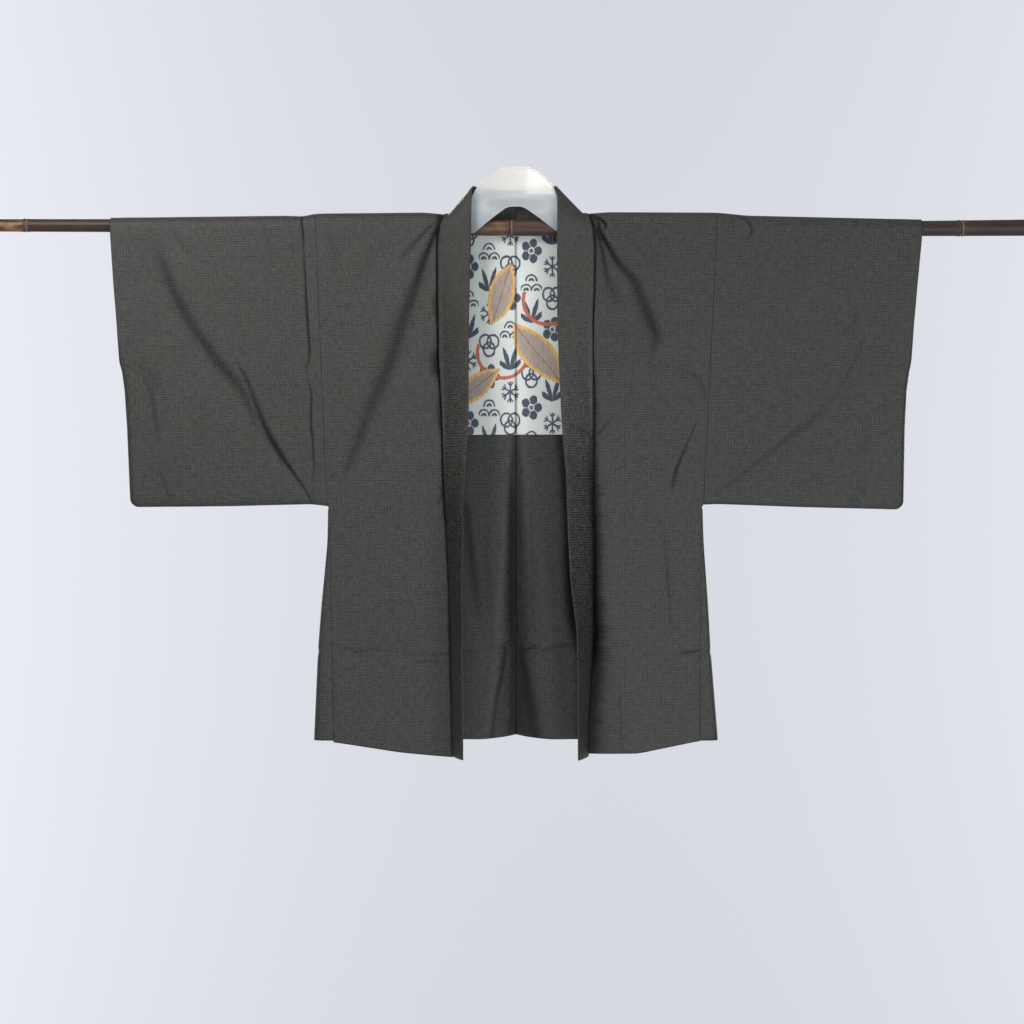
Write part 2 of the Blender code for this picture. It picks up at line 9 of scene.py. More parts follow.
import bmesh
import bpy
import numpy as np
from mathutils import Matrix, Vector


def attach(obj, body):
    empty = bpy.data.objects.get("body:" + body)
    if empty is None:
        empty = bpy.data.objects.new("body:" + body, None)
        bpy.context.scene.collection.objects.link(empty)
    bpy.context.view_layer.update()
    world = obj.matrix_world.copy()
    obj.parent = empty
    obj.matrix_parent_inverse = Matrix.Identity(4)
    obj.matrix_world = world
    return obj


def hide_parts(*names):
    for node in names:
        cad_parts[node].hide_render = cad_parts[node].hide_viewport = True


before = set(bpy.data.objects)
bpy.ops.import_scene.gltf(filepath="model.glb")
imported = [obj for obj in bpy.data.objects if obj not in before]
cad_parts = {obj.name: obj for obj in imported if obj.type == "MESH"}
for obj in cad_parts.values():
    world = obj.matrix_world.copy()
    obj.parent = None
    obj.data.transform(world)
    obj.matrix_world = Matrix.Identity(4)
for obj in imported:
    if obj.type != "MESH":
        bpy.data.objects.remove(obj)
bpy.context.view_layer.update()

# ---------------------------------------------------------------------------------------------
# Outer silk.  A dull slubbed silk in dark olive grey, woven with a fine check of paler picks
# and ends, each thread a little uneven.  It covers body, sleeves, gussets and collar.
# ---------------------------------------------------------------------------------------------
MM = 0.001
PICK_PITCH = 4.05       # rows of the check, along the cloth
END_PITCH = 4.7         # columns of the check, across it
THREAD_PITCH = 0.9      # the single threads in between
SILK_SPECULAR = 0.29
# Painted shade: how much a full crease darkens faces turned to the front and to the back.
FRONT_PAINTED_SHADE, BACK_PAINTED_SHADE = -0.92, -0.4     # what a full crease does to faces turned either way


def feed(tree, node, sockets):
    """Give a node's inputs numbers, colours or links."""
    for place, value in dict(sockets).items():
        if isinstance(value, bpy.types.NodeSocket):
            tree.links.new(value, node.inputs[place])
        else:
            node.inputs[place].default_value = value
    return node


def add_node(tree, kind, sockets=(), **settings):
    """A shader node with its settings and its inputs."""
    made = tree.nodes.new("ShaderNode" + kind)
    for name, value in settings.items():
        setattr(made, name, value)
    return feed(tree, made, sockets)


def calc(tree, operation, *values):
    """A Math node's result."""
    return add_node(tree, "Math", enumerate(values), operation=operation).outputs[0]


def new_group(name, inputs, outputs):
    """An empty shader node group; inputs and outputs are (name, socket type) pairs."""
    tree = bpy.data.node_groups.new(name, "ShaderNodeTree")
    for label, kind in inputs:
        tree.interface.new_socket(label, in_out="INPUT", socket_type="NodeSocket" + kind)
    for label, kind in outputs:
        tree.interface.new_socket(label, in_out="OUTPUT", socket_type="NodeSocket" + kind)
    return tree, tree.nodes.new("NodeGroupInput"), tree.nodes.new("NodeGroupOutput")


def noise(tree, where, scale, detail=2.0, stretch=(1, 1, 1)):
    """A noise value from 0 to 1, stretched along an axis by a factor under 1."""
    mapped = add_node(tree, "Mapping", {"Vector": where, "Scale": stretch}).outputs[0]
    sockets = {"Vector": mapped, "Scale": scale, "Detail": detail}
    return add_node(tree, "TexNoise", sockets).outputs[0]


def ramp(tree, value, start, end, low=0.0, high=1.0):
    """A value that goes straight from low at start to high at end, and no further."""
    return add_node(tree, "MapRange", {0: value, 1: start, 2: end, 3: low, 4: high}).outputs[0]


def mix(tree, share, first, second):
    """A colour between two, each given as red, green and blue or as a link."""
    first, second = ((*end, 1) if isinstance(end, tuple) else end for end in (first, second))
    return add_node(tree, "Mix", {0: share, 6: first, 7: second}, data_type="RGBA").outputs[2]


def scaled(tree, vector, factor):
    """A vector or a colour times a factor."""
    return add_node(tree, "VectorMath", {0: vector, "Scale": factor}, operation="SCALE").outputs[0]


def separate(tree, vector):
    """The three parts of a vector."""
    return add_node(tree, "SeparateXYZ", {0: vector}).outputs


def wandering(tree, cloth, scale, amount):
    """Places across and along the cloth, on lines that wander by up to half the amount."""
    cloud = add_node(tree, "TexNoise", {"Vector": cloth, "Scale": scale, "Detail": 1.0})
    shift = {0: cloud.outputs["Color"], 1: (0.5, 0.5, 0.5)}
    shift = add_node(tree, "VectorMath", shift, operation="SUBTRACT").outputs[0]
    small = scaled(tree, shift, amount)
    moved = add_node(tree, "VectorMath", {0: cloth, 1: small}, operation="ADD")
    return separate(tree, moved.outputs[0])


def relief(tree, height, strength, distance):
    """A bump's normal."""
    sockets = {"Height": height, "Strength": strength, "Distance": distance}
    return add_node(tree, "Bump", sockets).outputs[0]


def new_material(name):
    """A material with its node tree and its shader."""
    made = bpy.data.materials.new(name)
    made.use_nodes = True
    return made, made.node_tree, made.node_tree.nodes["Principled BSDF"]


def make_weave():
    """Check, threads and slubs of the silk, from flat cloth coordinates in metres."""
    tree, given, result = new_group(
        "silk_weave", [("Cloth", "Vector")],
        [("Tone", "Float"), ("Drift", "Float"), ("Relief", "Float")])
    cloth = given.outputs["Cloth"]
    across, along, _ = wandering(tree, cloth, 90.0, 0.0011)
    waves = []
    for place, pitch in ((across, END_PITCH), (along, PICK_PITCH),
                         (across, THREAD_PITCH), (along, THREAD_PITCH)):
        angle = calc(tree, "MULTIPLY", place, 2 * math.pi / (pitch * MM))
        waves.append(calc(tree, "SINE", angle))
    ends, picks, fine_ends, fine_picks = waves
    strong = calc(tree, "MULTIPLY_ADD", noise(tree, cloth, 75.0), 1.8, -0.68)
    weak = calc(tree, "MULTIPLY_ADD", noise(tree, cloth, 60.0), 0.9, -0.33)
    weft = calc(tree, "SUBTRACT", noise(tree, cloth, 380.0, 2.0, (0.22, 1, 1)), 0.5)
    warp = calc(tree, "SUBTRACT", noise(tree, cloth, 360.0, 2.0, (1, 0.2, 1)), 0.5)
    speck = calc(tree, "SUBTRACT", noise(tree, cloth, 420.0, 1.0), 0.5)
    patch = calc(tree, "SUBTRACT", noise(tree, cloth, 17.0, 3.0), 0.5)
    tone = calc(tree, "MULTIPLY_ADD", picks, strong, 1.0)
    tone = calc(tree, "MULTIPLY_ADD", ends, weak, tone)
    tone = calc(tree, "MULTIPLY_ADD", calc(tree, "MULTIPLY", ends, picks), 0.14, tone)
    for part, amount in ((weft, 1.7), (warp, 1.05), (speck, 0.9), (patch, 0.2)):
        tone = calc(tree, "MULTIPLY_ADD", part, amount, tone)
    drift = 0.5
    for part, amount in ((weft, 1.5), (warp, -1.4), (speck, 1.6), (patch, 1.1)):
        drift = calc(tree, "MULTIPLY_ADD", part, amount, drift)
    threads = calc(tree, "MULTIPLY", calc(tree, "ADD", fine_ends, fine_picks), 0.25)
    rough = calc(tree, "MULTIPLY_ADD", weft, 1.6, calc(tree, "MULTIPLY_ADD", picks, 0.3, threads))
    feed(tree, result, {"Tone": calc(tree, "MAXIMUM", tone, 0.25), "Drift": drift, "Relief": rough})
    return tree


weave = make_weave()


def silk_material(name, warm, cool, high, low):
    """Silk whose colour drifts from a warm to a cool grey, with the weave's tone and relief.
    The check stands out by high at the shoulder and by low in the lower half.  The crease
    attribute holds painted shade along creases, beside the collar and on the collar bands, the
    seams' dark lines, and painted light where it is below 0.  The painted shade darkens faces
    turned to the front more than those turned to the back."""
    made, tree, shader = new_material(name)
    cloth = add_node(tree, "UVMap", uv_map="cloth").outputs[0]
    weaving = add_node(tree, "Group", {"Cloth": cloth}, node_tree=weave).outputs
    crease = add_node(tree, "Attribute", attribute_name="crease").outputs["Fac"]
    place = add_node(tree, "TexCoord").outputs
    facing, height = separate(tree, place["Normal"])[1], separate(tree, place["Object"])[2]
    # Painted shade from the crease attribute, weaker on faces turned to the back.
    dark = ramp(tree, facing, 0.0, 0.4, FRONT_PAINTED_SHADE, BACK_PAINTED_SHADE)
    deep = calc(tree, "MULTIPLY_ADD", crease, dark, 1.0)
    contrast = ramp(tree, height, -0.1, -0.5, high, low)
    swing = calc(tree, "SUBTRACT", weaving["Tone"], 1.0)
    tone = calc(tree, "MAXIMUM", calc(tree, "MULTIPLY_ADD", swing, contrast, 1.0), 0.1)
    tone = calc(tree, "MULTIPLY", tone, deep)
    shader.inputs["Specular IOR Level"].default_value = SILK_SPECULAR
    feed(tree, shader, {
        "Base Color": scaled(tree, mix(tree, weaving["Drift"], warm, cool), tone),
        "Specular IOR Level": calc(tree, "MULTIPLY", deep, SILK_SPECULAR),
        "Roughness": calc(tree, "MULTIPLY_ADD", weaving["Relief"], 0.05, 0.6),
        "Normal": relief(tree, weaving["Relief"], 0.5, 0.00012),
    })
    return made


silk = silk_material("outer_silk", (0.0270, 0.0251, 0.0207), (0.0196, 0.0219, 0.0236), 1.0, 1.05)

# ---------------------------------------------------------------------------------------------
# Body panels.  Each half is one straight length of silk, up the front, over the rod and down
# the back, with its end turned up inside so that it is double.  The halves are sewn together
# down the centre back.  Weight drags troughs from the neck, and folding left flat creases.
# ---------------------------------------------------------------------------------------------
SIDES = {"left": -1, "right": 1}
CLOTH_WALL = 1.2
SEAM_GAP = {"left": 0.06, "right": 0.3}
CENTRE_LAP = 0.05       # how far each half reaches past the centre line at the back
HALF_GAP = 16.5         # half the depth between front and back where they hang from the rod
ARMHOLE_END = -457.0
BACK_NECK_HALF = 97.0
BACK_NECK_RISE = 5.0
BACK_NECK_CORNER = 20.0
BACK_SEAM_FLAT = 1.5
# Painted highlight: where the centre seam's right lip is made lighter.
BACK_SEAM_HIGHLIGHT = 3.4    # where the seam's right lip catches light
WELD = 0.03
RIPPLE = 0.5            # height of the cloth's slow unevenness
BELOW_ROD = (-5, 30)    # the creases set in between these depths under the rod's axis

SHOULDER = [  # x, height of the cloth over the rod's axis left, right
    (96, 20.5, 21.0),
    (115, 21.5, 22.5),
    (150, 25.0, 25.6),
    (315, 23.5, 25.0),
    (335, 22.8, 24.6),
    (352, 18.6, 23.0),
    (380, 19.8, 20.0),
    (669, 16.5, 13.4),
]
SIDE_SEAM = [  # z, left, right
    (0, 329.2, 330.8),
    (ARMHOLE_END, 312.7, 309.4),
    (ARMHOLE_END - 6, 308.2, 305.8),
    (-480, 307.5, 305.3),
    (-846, 301.1, 302.8),
]
SIDE_GAP = [  # z, half the depth at the side
    (0, 16.0),
    (-100, 14.0),
    (-300, 9.5),
    (ARMHOLE_END, 6.5),
    (-600, 7.5),
    (-846, 9.5),
]
FRONT_HEM = [  # across from the collar, left, right
    (0, -872.5, -867.0),
    (0.2, -869.5, -867.2),
    (0.45, -865.0, -867.0),
    (1, -848.5, -846.5),
]
BACK_HEM = [  # x, z
    (0, -842.0),
    (18, -844.0),
    (60, -846.5),
    (330, -845.5),
]
BACK_RIDGE = [  # z, how far the centre seam stands out behind, half width
    (-250, 0.0, 18),
    (-400, 11.0, 19),
    (-500, 19.0, 22),
    (-700, 29.0, 40),
    (-846, 36.0, 58),
]
COLLAR_FRONT = [  # z, left edge, left fold, right edge, right fold, lap, fold above seam
    (-30, 129.5, 72.9, 129.5, 66.8, 8, 15),
    (-62, 129.5, 74.0, 129.3, 66.8, 8, 9),
    (-93, 129.4, 74.8, 128.9, 66.8, 8, 4),
    (-156, 128.5, 76.0, 126.6, 66.8, 8, 0),
    (-217, 127.5, 76.5, 127.0, 69.0, 8, 0),
    (-316, 121.9, 76.5, 127.9, 73.2, 6, 0),
    (-408, 119.6, 82.2, 126.7, 80.6, 3, 0),
    (-466, 116.3, 85.8, 127.0, 82.4, 1, 0),
    (-501, 113.0, 85.6, 127.6, 83.4, 0, 0),
    (-582, 109.2, 87.3, 127.6, 87.7, 0, 0),
    (-662, 106.9, 86.2, 127.0, 97.4, 0, 0),
    (-704, 105.8, 86.9, 125.2, 98.4, 0, 0),
    (-783, 104.0, 85.5, 120.9, 98.9, 0, 0),
    (-871, 102.5, 85.2, 117.8, 99.8, 0, 0),
]
NECK_SEAM_END = 117.5
COLLAR_CLEARANCE = 0.8
# The shade columns are painted shade on the front beside the collar's free edge.
COLLAR_VALLEY = [  # z, sink of the front beside the collar, its half width, its shade; left, right
    (10, 1.0, 0.8, 1.6, 2.0, 0.5, 0.5),
    (-12, 2.4, 1.2, 2.0, 1.8, 0.8, 0.7),
    (-100, 2.4, 1.4, 2.4, 1.8, 1.0, 0.8),
    (-130, 2.4, 1.4, 5.5, 1.8, 0.9, 0.9),
    (-160, 2.4, 1.4, 3.0, 1.8, 1.0, 0.9),
    (-200, 2.8, 1.4, 3.6, 2.0, 1.0, 0.9),
    (-212, 2.8, 1.5, 8.5, 2.2, 1.0, 0.9),
    (-240, 2.8, 2.0, 7.5, 3.5, 1.0, 0.9),
    (-252, 2.8, 2.4, 2.8, 4.5, 1.0, 0.9),
    (-290, 2.8, 2.8, 4.0, 6.5, 1.0, 0.9),
    (-315, 2.8, 3.2, 7.5, 6.0, 0.9, 0.9),
    (-340, 2.8, 3.6, 2.6, 5.0, 1.1, 0.9),
    (-380, 2.8, 4.5, 2.8, 7.5, 1.1, 0.9),
    (-470, 3.0, 6.0, 3.0, 11, 1.1, 0.95),
    (-620, 3.0, 7.0, 3.0, 13, 1.1, 1.05),
    (-690, 3.4, 7.5, 4.0, 19, 1.1, 1.15),
    (-730, 3.4, 6.5, 3.5, 18, 1.1, 0.85),
    (-870, 2.6, 4.0, 2.8, 15, 0.9, 0.7),
]

# Creases, each (tilt, groove, dark, route).  Along its route the cloth slopes by tilt, up to
# its outer or upper side, and a groove is pressed in.  Dark is how much painted shade the
# crease gets; a row with no tilt and no groove is only a painted shadow.  A route is a list
# of (x, z, strength, half width).
CREASE_REACH = 4        # half widths over which the slope dies out
CREASES = {
    "front_left": [
        (0.5, 0.05, 0.45, [(122, 19, 0, 2), (127, 7, 1.3, 3.2), (137, -18, 1.6, 5),
            (150, -51, 1.45, 7), (161, -84, 1.25, 9), (172, -116, 1.15, 10.5),
            (183, -145, 1.05, 12), (195, -178, 1, 13), (207, -219, 1, 13), (224, -260, 0.95, 13),
            (240, -297, 0.9, 12.5), (255, -338, 0.9, 11), (269, -375, 0.8, 9),
            (281, -400, 0.55, 7), (282, -421, 0, 5)]),
        (0.4, 0.15, 0.42, [(121, 17, 0, 2), (133, 6, 1, 2.4), (146, -5, 1, 3), (162, -22, 0.9, 4),
            (176, -38, 0.6, 6), (195, -59, 0, 7)]),
        (0.3, 0, 0.1, [(167, -141, 0, 4), (176, -162, 0.8, 4), (186, -190, 0.8, 4),
            (197, -223, 0.6, 4), (208, -252, 0, 4)]),
        (0.1, 0.5, 0.5, [(303, -139, 0.2, 1.6), (313, -153, 0.8, 1.6), (324, -168, 0.9, 1.8)]),
        (0.3, 0, 0.05, [(314, 3, 0, 6), (302, -26, 0.7, 7), (293, -53, 0.5, 7), (289, -71, 0, 7)]),
        (0.25, 0, 0, [(201, -1, 0, 7), (220, -30, 0.6, 8), (250, -63, 0.7, 8), (265, -96, 0, 8)]),
        (0.28, 0.25, 0.4, [(106, -702, 0.9, 2.5), (130, -703, 0.7, 2.5), (163, -702, 0.4, 2.5),
            (202, -697, 0.35, 2.5), (235, -695, 0.8, 2.5), (257, -699, 0.9, 3),
            (289, -691, 0.6, 2.5), (320, -688, 1, 2)]),
        (0.28, 0.25, 0.4, [(106, -716, 0.9, 2.2), (130, -715, 0.8, 2.2), (158, -715, 0.5, 2.2),
            (180, -715, 0, 2.2)]),
        (0.28, 0.2, 0.15, [(150, -688, 0, 2.5), (169, -687, 0.7, 2.5), (191, -682, 0.4, 2.5),
            (210, -674, 0, 2.5)]),
        (0.12, 0.4, 0.35, [(300, -713, 0, 1.5), (299, -756, 0.7, 1.5), (299, -800, 0.7, 1.5),
            (298, -841, 0.6, 1.5)]),
        (0, 0, 0.6, [(133, -106, 0, 3), (133, -128, 0.8, 6), (132, -142, 0.6, 5),
            (131, -160, 0.3, 4), (131, -188, 0.5, 4), (131, -202, 0.8, 8), (131, -218, 1.1, 13),
            (130, -240, 1.05, 12), (129, -254, 0.4, 5), (128, -276, 0.4, 4), (127, -296, 0.7, 7),
            (125, -318, 0.7, 7), (124, -345, 0.3, 4), (122, -395, 0.3, 3), (121, -412, 0, 3)]),
        (0.2, 0.5, 0.6, [(133, -423, 0, 2), (126, -428, 0.9, 2), (121, -438, 1, 2.4),
            (125, -450, 0.9, 2), (132, -455, 0, 2)]),
        (0.28, 0, 0, [(166, -380, 0, 14), (174, -408, 0.6, 14), (172, -474, 0.4, 16),
            (170, -511, 0, 16)]),
    ],
    "front_right": [
        (0.5, 0.12, 0.52, [(128, 18, 0, 2.5), (134, 10, 1.5, 4), (140, -10, 1.7, 5),
            (153, -34, 1.6, 6), (165, -55, 1.35, 7.5), (179, -71, 1.1, 9), (196, -92, 1.05, 11.5),
            (208, -121, 1, 13), (220, -153, 1.05, 13), (231, -182, 1, 10), (225, -201, 0.6, 7),
            (217, -211, 0, 5)]),
        (0.45, 0.15, 0.5, [(131, 7, 0.6, 3), (135, -10, 1.4, 4), (142, -38, 1.4, 5),
            (147, -67, 1.2, 6.5), (153, -92, 0.9, 8.5), (164, -116, 0.5, 10), (175, -141, 0, 9)]),
        (0.3, 0.6, 0.85, [(126, 18, 0.9, 2.8), (138, 13, 1.2, 3.4), (147, 5, 1.3, 3),
            (147, -3, 0.9, 2.4), (138, -7, 0, 2)]),
        (0.2, 0.5, 0.8, [(123, 15, 1.1, 2.6), (127, 5, 1.2, 2.6), (131, -5, 1, 2.4),
            (133, -22, 0, 2.2)]),
        (0.42, 0, 0.2, [(147, 15, 0, 3), (179, -14, 0.7, 4.5), (200, -32, 0.9, 5.5),
            (220, -55, 0.8, 6.5), (241, -72, 0.4, 8), (270, -79, 0, 9)]),
        (0.42, 0, 0.2, [(211, -209, 0, 5), (222, -227, 0.8, 5.5), (237, -232, 0.5, 6),
            (257, -227, 0.4, 6), (274, -234, 0.9, 5.5), (292, -244, 1, 5), (305, -256, 1, 5),
            (311, -273, 0.9, 4.5), (315, -293, 0, 4)]),
        (0.3, 0, 0.08, [(174, -141, 0, 5), (173, -162, 0.9, 5), (179, -190, 0.7, 5),
            (198, -216, 0.6, 5), (200, -236, 0, 5)]),
        (-0.4, 0.25, 0.55, [(303, -314, 0, 1.6), (296, -326, 0.7, 1.8), (288, -343, 1, 2),
            (274, -375, 1.2, 2.6), (264, -400, 1.2, 3.4), (258, -425, 0.8, 4), (255, -437, 0, 3)]),
        (0.1, 0.6, 0.7, [(132, -345, 1, 1.8), (140, -336, 0.9, 1.8), (150, -323, 0.7, 1.8),
            (164, -310, 0, 1.8)]),
        (0.2, 0.3, 0.25, [(132, -219, 0.8, 1.8), (155, -224, 0.6, 1.8), (173, -227, 0, 1.8)]),
        (0.3, 0, 0, [(190, -359, 0, 7), (198, -384, 0.8, 8), (208, -417, 0.8, 8),
            (220, -454, 0.4, 8), (224, -474, 0, 8)]),
        (0.35, 0, 0.3, [(240, -477, 0, 3), (243, -510, 0.4, 3), (248, -550, 0.8, 3),
            (251, -590, 1, 3), (254, -630, 0.8, 3), (258, -668, 0, 3)]),
        (-0.3, 0, 0, [(246, -477, 0, 3), (248, -493, 0.8, 3), (250, -521, 0.9, 3),
            (253, -548, 0, 3)]),
        (0.28, 0.35, 0.55, [(258, -702, 0, 2.2), (275, -701, 0.9, 2.4), (294, -699, 1.1, 2.4),
            (318, -691, 0.9, 2.2)]),
        (0.2, 0.15, 0.06, [(157, -721, 0.6, 2.2), (187, -725, 0.6, 2.2), (220, -727, 0.5, 2.2),
            (256, -724, 0, 2.2)]),
        (0.15, 0.4, 0.35, [(170, -756, 0, 1.5), (171, -778, 0.8, 1.5), (172, -822, 0.8, 1.5),
            (173, -862, 0.7, 1.5)]),
        (-0.28, 0, 0, [(308, -614, 0.8, 2.5), (304, -641, 0.9, 3), (300, -663, 0, 3)]),
    ],
    "back_left": [
        (0.45, 0, 0, [(112, 10, 0.2, 5), (150, -60, 0.9, 7), (190, -140, 1, 10), (228, -230, 1, 11),
            (256, -310, 0.9, 11), (272, -380, 0.4, 10), (280, -430, 0, 9)]),
        (0.35, 0.1, 0.05, [(118, 8, 0.3, 3), (165, -30, 0.8, 4), (230, -74, 0.4, 5),
            (270, -90, 0, 5)]),
        (0.25, 0.2, 0.3, [(0, -695, 1, 4), (14, -691, 1.2, 5), (34, -693, 0.5, 3),
            (60, -698, 0.3, 3), (90, -699, 0.9, 4), (200, -706, 0.4, 2.4), (330, -698, 0.8, 2.2)]),
        (0, 0, 0.5, [(84, -440, 0, 6), (82, -470, 0.9, 8), (74, -540, 1, 10), (65, -610, 0.8, 10),
            (60, -655, 0, 10)]),
        (0.1, 0, 0.5, [(3, -345, 0.4, 3), (8, -410, 0.5, 5), (8, -450, 0.9, 7), (9, -540, 1, 8),
            (9, -640, 1.05, 8), (7, -684, 0.8, 6)]),
        (0.25, 0.1, 0.45, [(18, -696, 0.8, 4), (24, -740, 1, 4), (34, -790, 0.9, 4.5),
            (40, -842, 0.8, 5)]),
        (0, 0, 0.3, [(8, -700, 0.6, 4), (6, -760, 0.8, 4), (10, -842, 0.6, 6)]),
        (-0.2, 0, 0, [(50, -480, 0, 8), (48, -560, 0.8, 8), (40, -650, 0.5, 8), (40, -684, 0, 8)]),
        (0.3, 0, 0, [(200, -480, 0, 10), (212, -600, 0.8, 11), (222, -760, 0.7, 12),
            (224, -840, 0.5, 12)]),
    ],
    "back_right": [
        (0.45, 0, 0, [(112, 10, 0.2, 5), (160, -70, 0.9, 7), (206, -150, 1, 10), (238, -250, 1, 11),
            (256, -330, 0.8, 10), (262, -400, 0, 9)]),
        (0.35, 0.1, 0.05, [(120, 8, 0.3, 3), (180, -40, 0.8, 4), (250, -64, 0.3, 5),
            (290, -70, 0, 5)]),
        (0.25, 0.25, 0.42, [(0, -696, 0.6, 3), (16, -701, 1.2, 4), (30, -692, 1.1, 4.5),
            (46, -698, 0.4, 3), (60, -692, 0.7, 4), (100, -690, 1, 4), (140, -700, 0.4, 2.4),
            (330, -694, 0.8, 2.2)]),
        (0, 0, 0.85, [(72, -338, 0.7, 9), (77, -366, 0.8, 10), (81, -428, 0.9, 10),
            (85, -491, 1, 10.5), (88, -574, 1.1, 13), (91, -615, 1.1, 13.5), (95, -657, 1.1, 12),
            (100, -684, 0.8, 10), (104, -720, 0.5, 9), (104, -842, 0.4, 8)]),
        (0.1, 0.1, 0.5, [(8, -696, 0.6, 6), (16, -740, 0.9, 9), (24, -790, 1, 12),
            (30, -842, 0.9, 14)]),
        (0, 0, 0.25, [(20, -420, 0, 7), (26, -520, 0.7, 8), (30, -640, 0.8, 9), (34, -684, 0, 9)]),
        (-0.2, 0, 0, [(44, -430, 0, 8), (56, -540, 0.7, 9), (66, -650, 0.7, 10),
            (74, -760, 0.7, 10), (80, -840, 0.5, 10)]),
        (0.3, 0, 0, [(190, -430, 0, 10), (186, -560, 0.8, 11), (196, -700, 0.8, 12),
            (204, -840, 0.5, 12)]),
    ],
}


def level(table, key, column, soft=8.0):
    """Read a column straight between its rows, with each bend rounded over soft mm."""
    rows = sorted(table)
    keys = [row[0] for row in rows]
    values = [row[column] for row in rows]
    shifts = np.linspace(-soft, soft, 7)
    return np.mean([np.interp(key + shift, keys, values) for shift in shifts], axis=0)


def ease(value, start, end):
    """Rise smoothly from 0 at start to 1 at end."""
    part = np.clip((value - start) / (end - start), 0, 1)
    return part * part * (3 - 2 * part)


def curve(before, start, end, after, t):
    """A Catmull-Rom curve's place between start and end, t of the way."""
    bend = (2 * before - 5 * start + 4 * end - after) * t ** 2
    return 0.5 * (2 * start + (end - before) * t + bend
                  + (3 * start - before - 3 * end + after) * t ** 3)


def smooth_route(route, steps=5):
    """A curved line through a route's points."""
    points = np.array([route[0], *route, route[-1]], float)
    made = [curve(*points[index:index + 4], step / steps)
            for index in range(len(route) - 1) for step in range(steps)]
    return np.array(made + [points[-2]])


def along_route(x, z, route):
    """Signed distance from a route, positive on its outer or upper side, its strength there
    and its half width there."""
    line = smooth_route(route)
    nearest = np.full(np.shape(x), np.inf)
    found = np.zeros((3, *np.shape(x)))
    for start, end in zip(line, line[1:]):
        run_x, run_z = end[:2] - start[:2]
        length = math.hypot(run_x, run_z)
        part = ((x - start[0]) * run_x + (z - start[1]) * run_z) / length ** 2
        part = np.clip(part, 0, 1)
        aside_x, aside_z = x - start[0] - part * run_x, z - start[1] - part * run_z
        away = np.hypot(aside_x, aside_z)
        side = np.where(run_x * aside_z - run_z * aside_x >= 0, away, -away)
        strength = start[2] + part * (end[2] - start[2])
        half_width = start[3] + part * (end[3] - start[3])
        found = np.where(away < nearest, [side, strength, half_width], found)
        nearest = np.minimum(away, nearest)
    return found


def crease_height(piece, x, z):
    """How far a panel's creases lift it, and how much painted shade they lay on it (0 to 1)."""
    height, shade = np.zeros(np.shape(x)), np.zeros(np.shape(x))
    for tilt, groove, dark, route in CREASES.get(piece, []):
        away, strength, half_width = along_route(x, z, route)
        part = away / half_width
        near = np.exp(-part ** 2)
        lift = tilt * np.tanh(part) * np.exp(-np.abs(part) / CREASE_REACH) - groove * near
        height += strength * half_width * lift
        shade = np.maximum(shade, dark * strength * np.exp(-(1.2 * part) ** 2))
    return height, shade


def ripple(x, z, seed, size=70.0):
    """A slow unevenness of the cloth, from -1 to 1."""
    total = np.zeros(np.shape(x))
    for index in range(5):
        turn = seed * 1.7 + index * 2.4
        pitch = size * (0.7 + 0.35 * index)
        run = x * math.cos(turn) + z * math.sin(turn) * 0.6
        total += np.sin(run / pitch * 2 * math.pi + turn * 3)
    return total / 5


def crowd_edges(part, amount=0.4):
    """Moves evenly spaced parts from 0 to 1 closer together near both ends."""
    return part - amount * np.sin(2 * math.pi * part) / (2 * math.pi)


def cloth_points(across, along, place):
    """A flat grid whose points place() moves; returns its bmesh, with flat coordinates as UV."""
    bm = bmesh.new()
    bmesh.ops.create_grid(bm, x_segments=across, y_segments=along, size=0.5)
    parts = np.array([vert.co[:2] for vert in bm.verts]) + 0.5
    points, flat, crease = place(parts[:, 0], parts[:, 1])
    layer = bm.verts.layers.float.new("crease")
    for vert, point, deep in zip(bm.verts, points * MM, crease):
        vert.co = point
        vert[layer] = deep
    uv = bm.loops.layers.uv.new("cloth")
    for face in bm.faces:
        for loop in face.loops:
            loop[uv].uv = flat[loop.vert.index] * MM
    return bm


def new_object(name, data):
    """An object at the origin, in the scene."""
    made = bpy.data.objects.new(name, data)
    bpy.context.scene.collection.objects.link(made)
    return made


def new_piece(name, bm, finish):
    """A smooth piece of one material from a bmesh."""
    mesh = bpy.data.meshes.new(name)
    bm.to_mesh(mesh)
    bm.free()
    mesh.shade_smooth()
    mesh.materials.append(finish)
    return new_object(name, mesh)


def cloth_piece(name, parts, wall, finish):
    """Join grids into one piece, close what meets, and give it the thickness of its wall."""
    bm = bmesh.new()
    for part in parts:
        mesh = bpy.data.meshes.new(name)
        part.to_mesh(mesh)
        part.free()
        bm.from_mesh(mesh)
        bpy.data.meshes.remove(mesh)
    bmesh.ops.remove_doubles(bm, verts=bm.verts, dist=WELD * MM)
    bmesh.ops.recalc_face_normals(bm, faces=bm.faces)
    made = new_piece(name, bm, finish)
    solid = made.modifiers.new("wall", "SOLIDIFY")
    solid.thickness = wall * MM
    solid.offset = 0
    solid.use_even_offset = True
    solid.thickness_clamp = 1.0
    return made


def side_column(side):
    """Tables hold the left side in column 1 and the right side in column 2."""
    return 1 if side == "left" else 2


def panel_side(side, z):
    """Where the body panel ends, at the seam to the sleeve and gusset."""
    return level(SIDE_SEAM, z, side_column(side), 3) - SEAM_GAP[side] / 2


def collar_seam(side, z):
    """Free edge and sewn line of the collar down the front."""
    edge = level(COLLAR_FRONT, z, 1 if side == "left" else 3)
    return edge, edge - level(COLLAR_FRONT, z, 5)


def front_inner_edge(side, z):
    """Where the front panel begins, beside the collar."""
    seam = collar_seam(side, z)[1]
    return NECK_SEAM_END + (seam - NECK_SEAM_END) * ease(-z, 0, 30) + COLLAR_CLEARANCE


def collar_valley(side, z):
    """How far the front sinks where the collar is sewn on, and over what half width."""
    column = side_column(side)
    return level(COLLAR_VALLEY, z, column), level(COLLAR_VALLEY, z, column + 2)


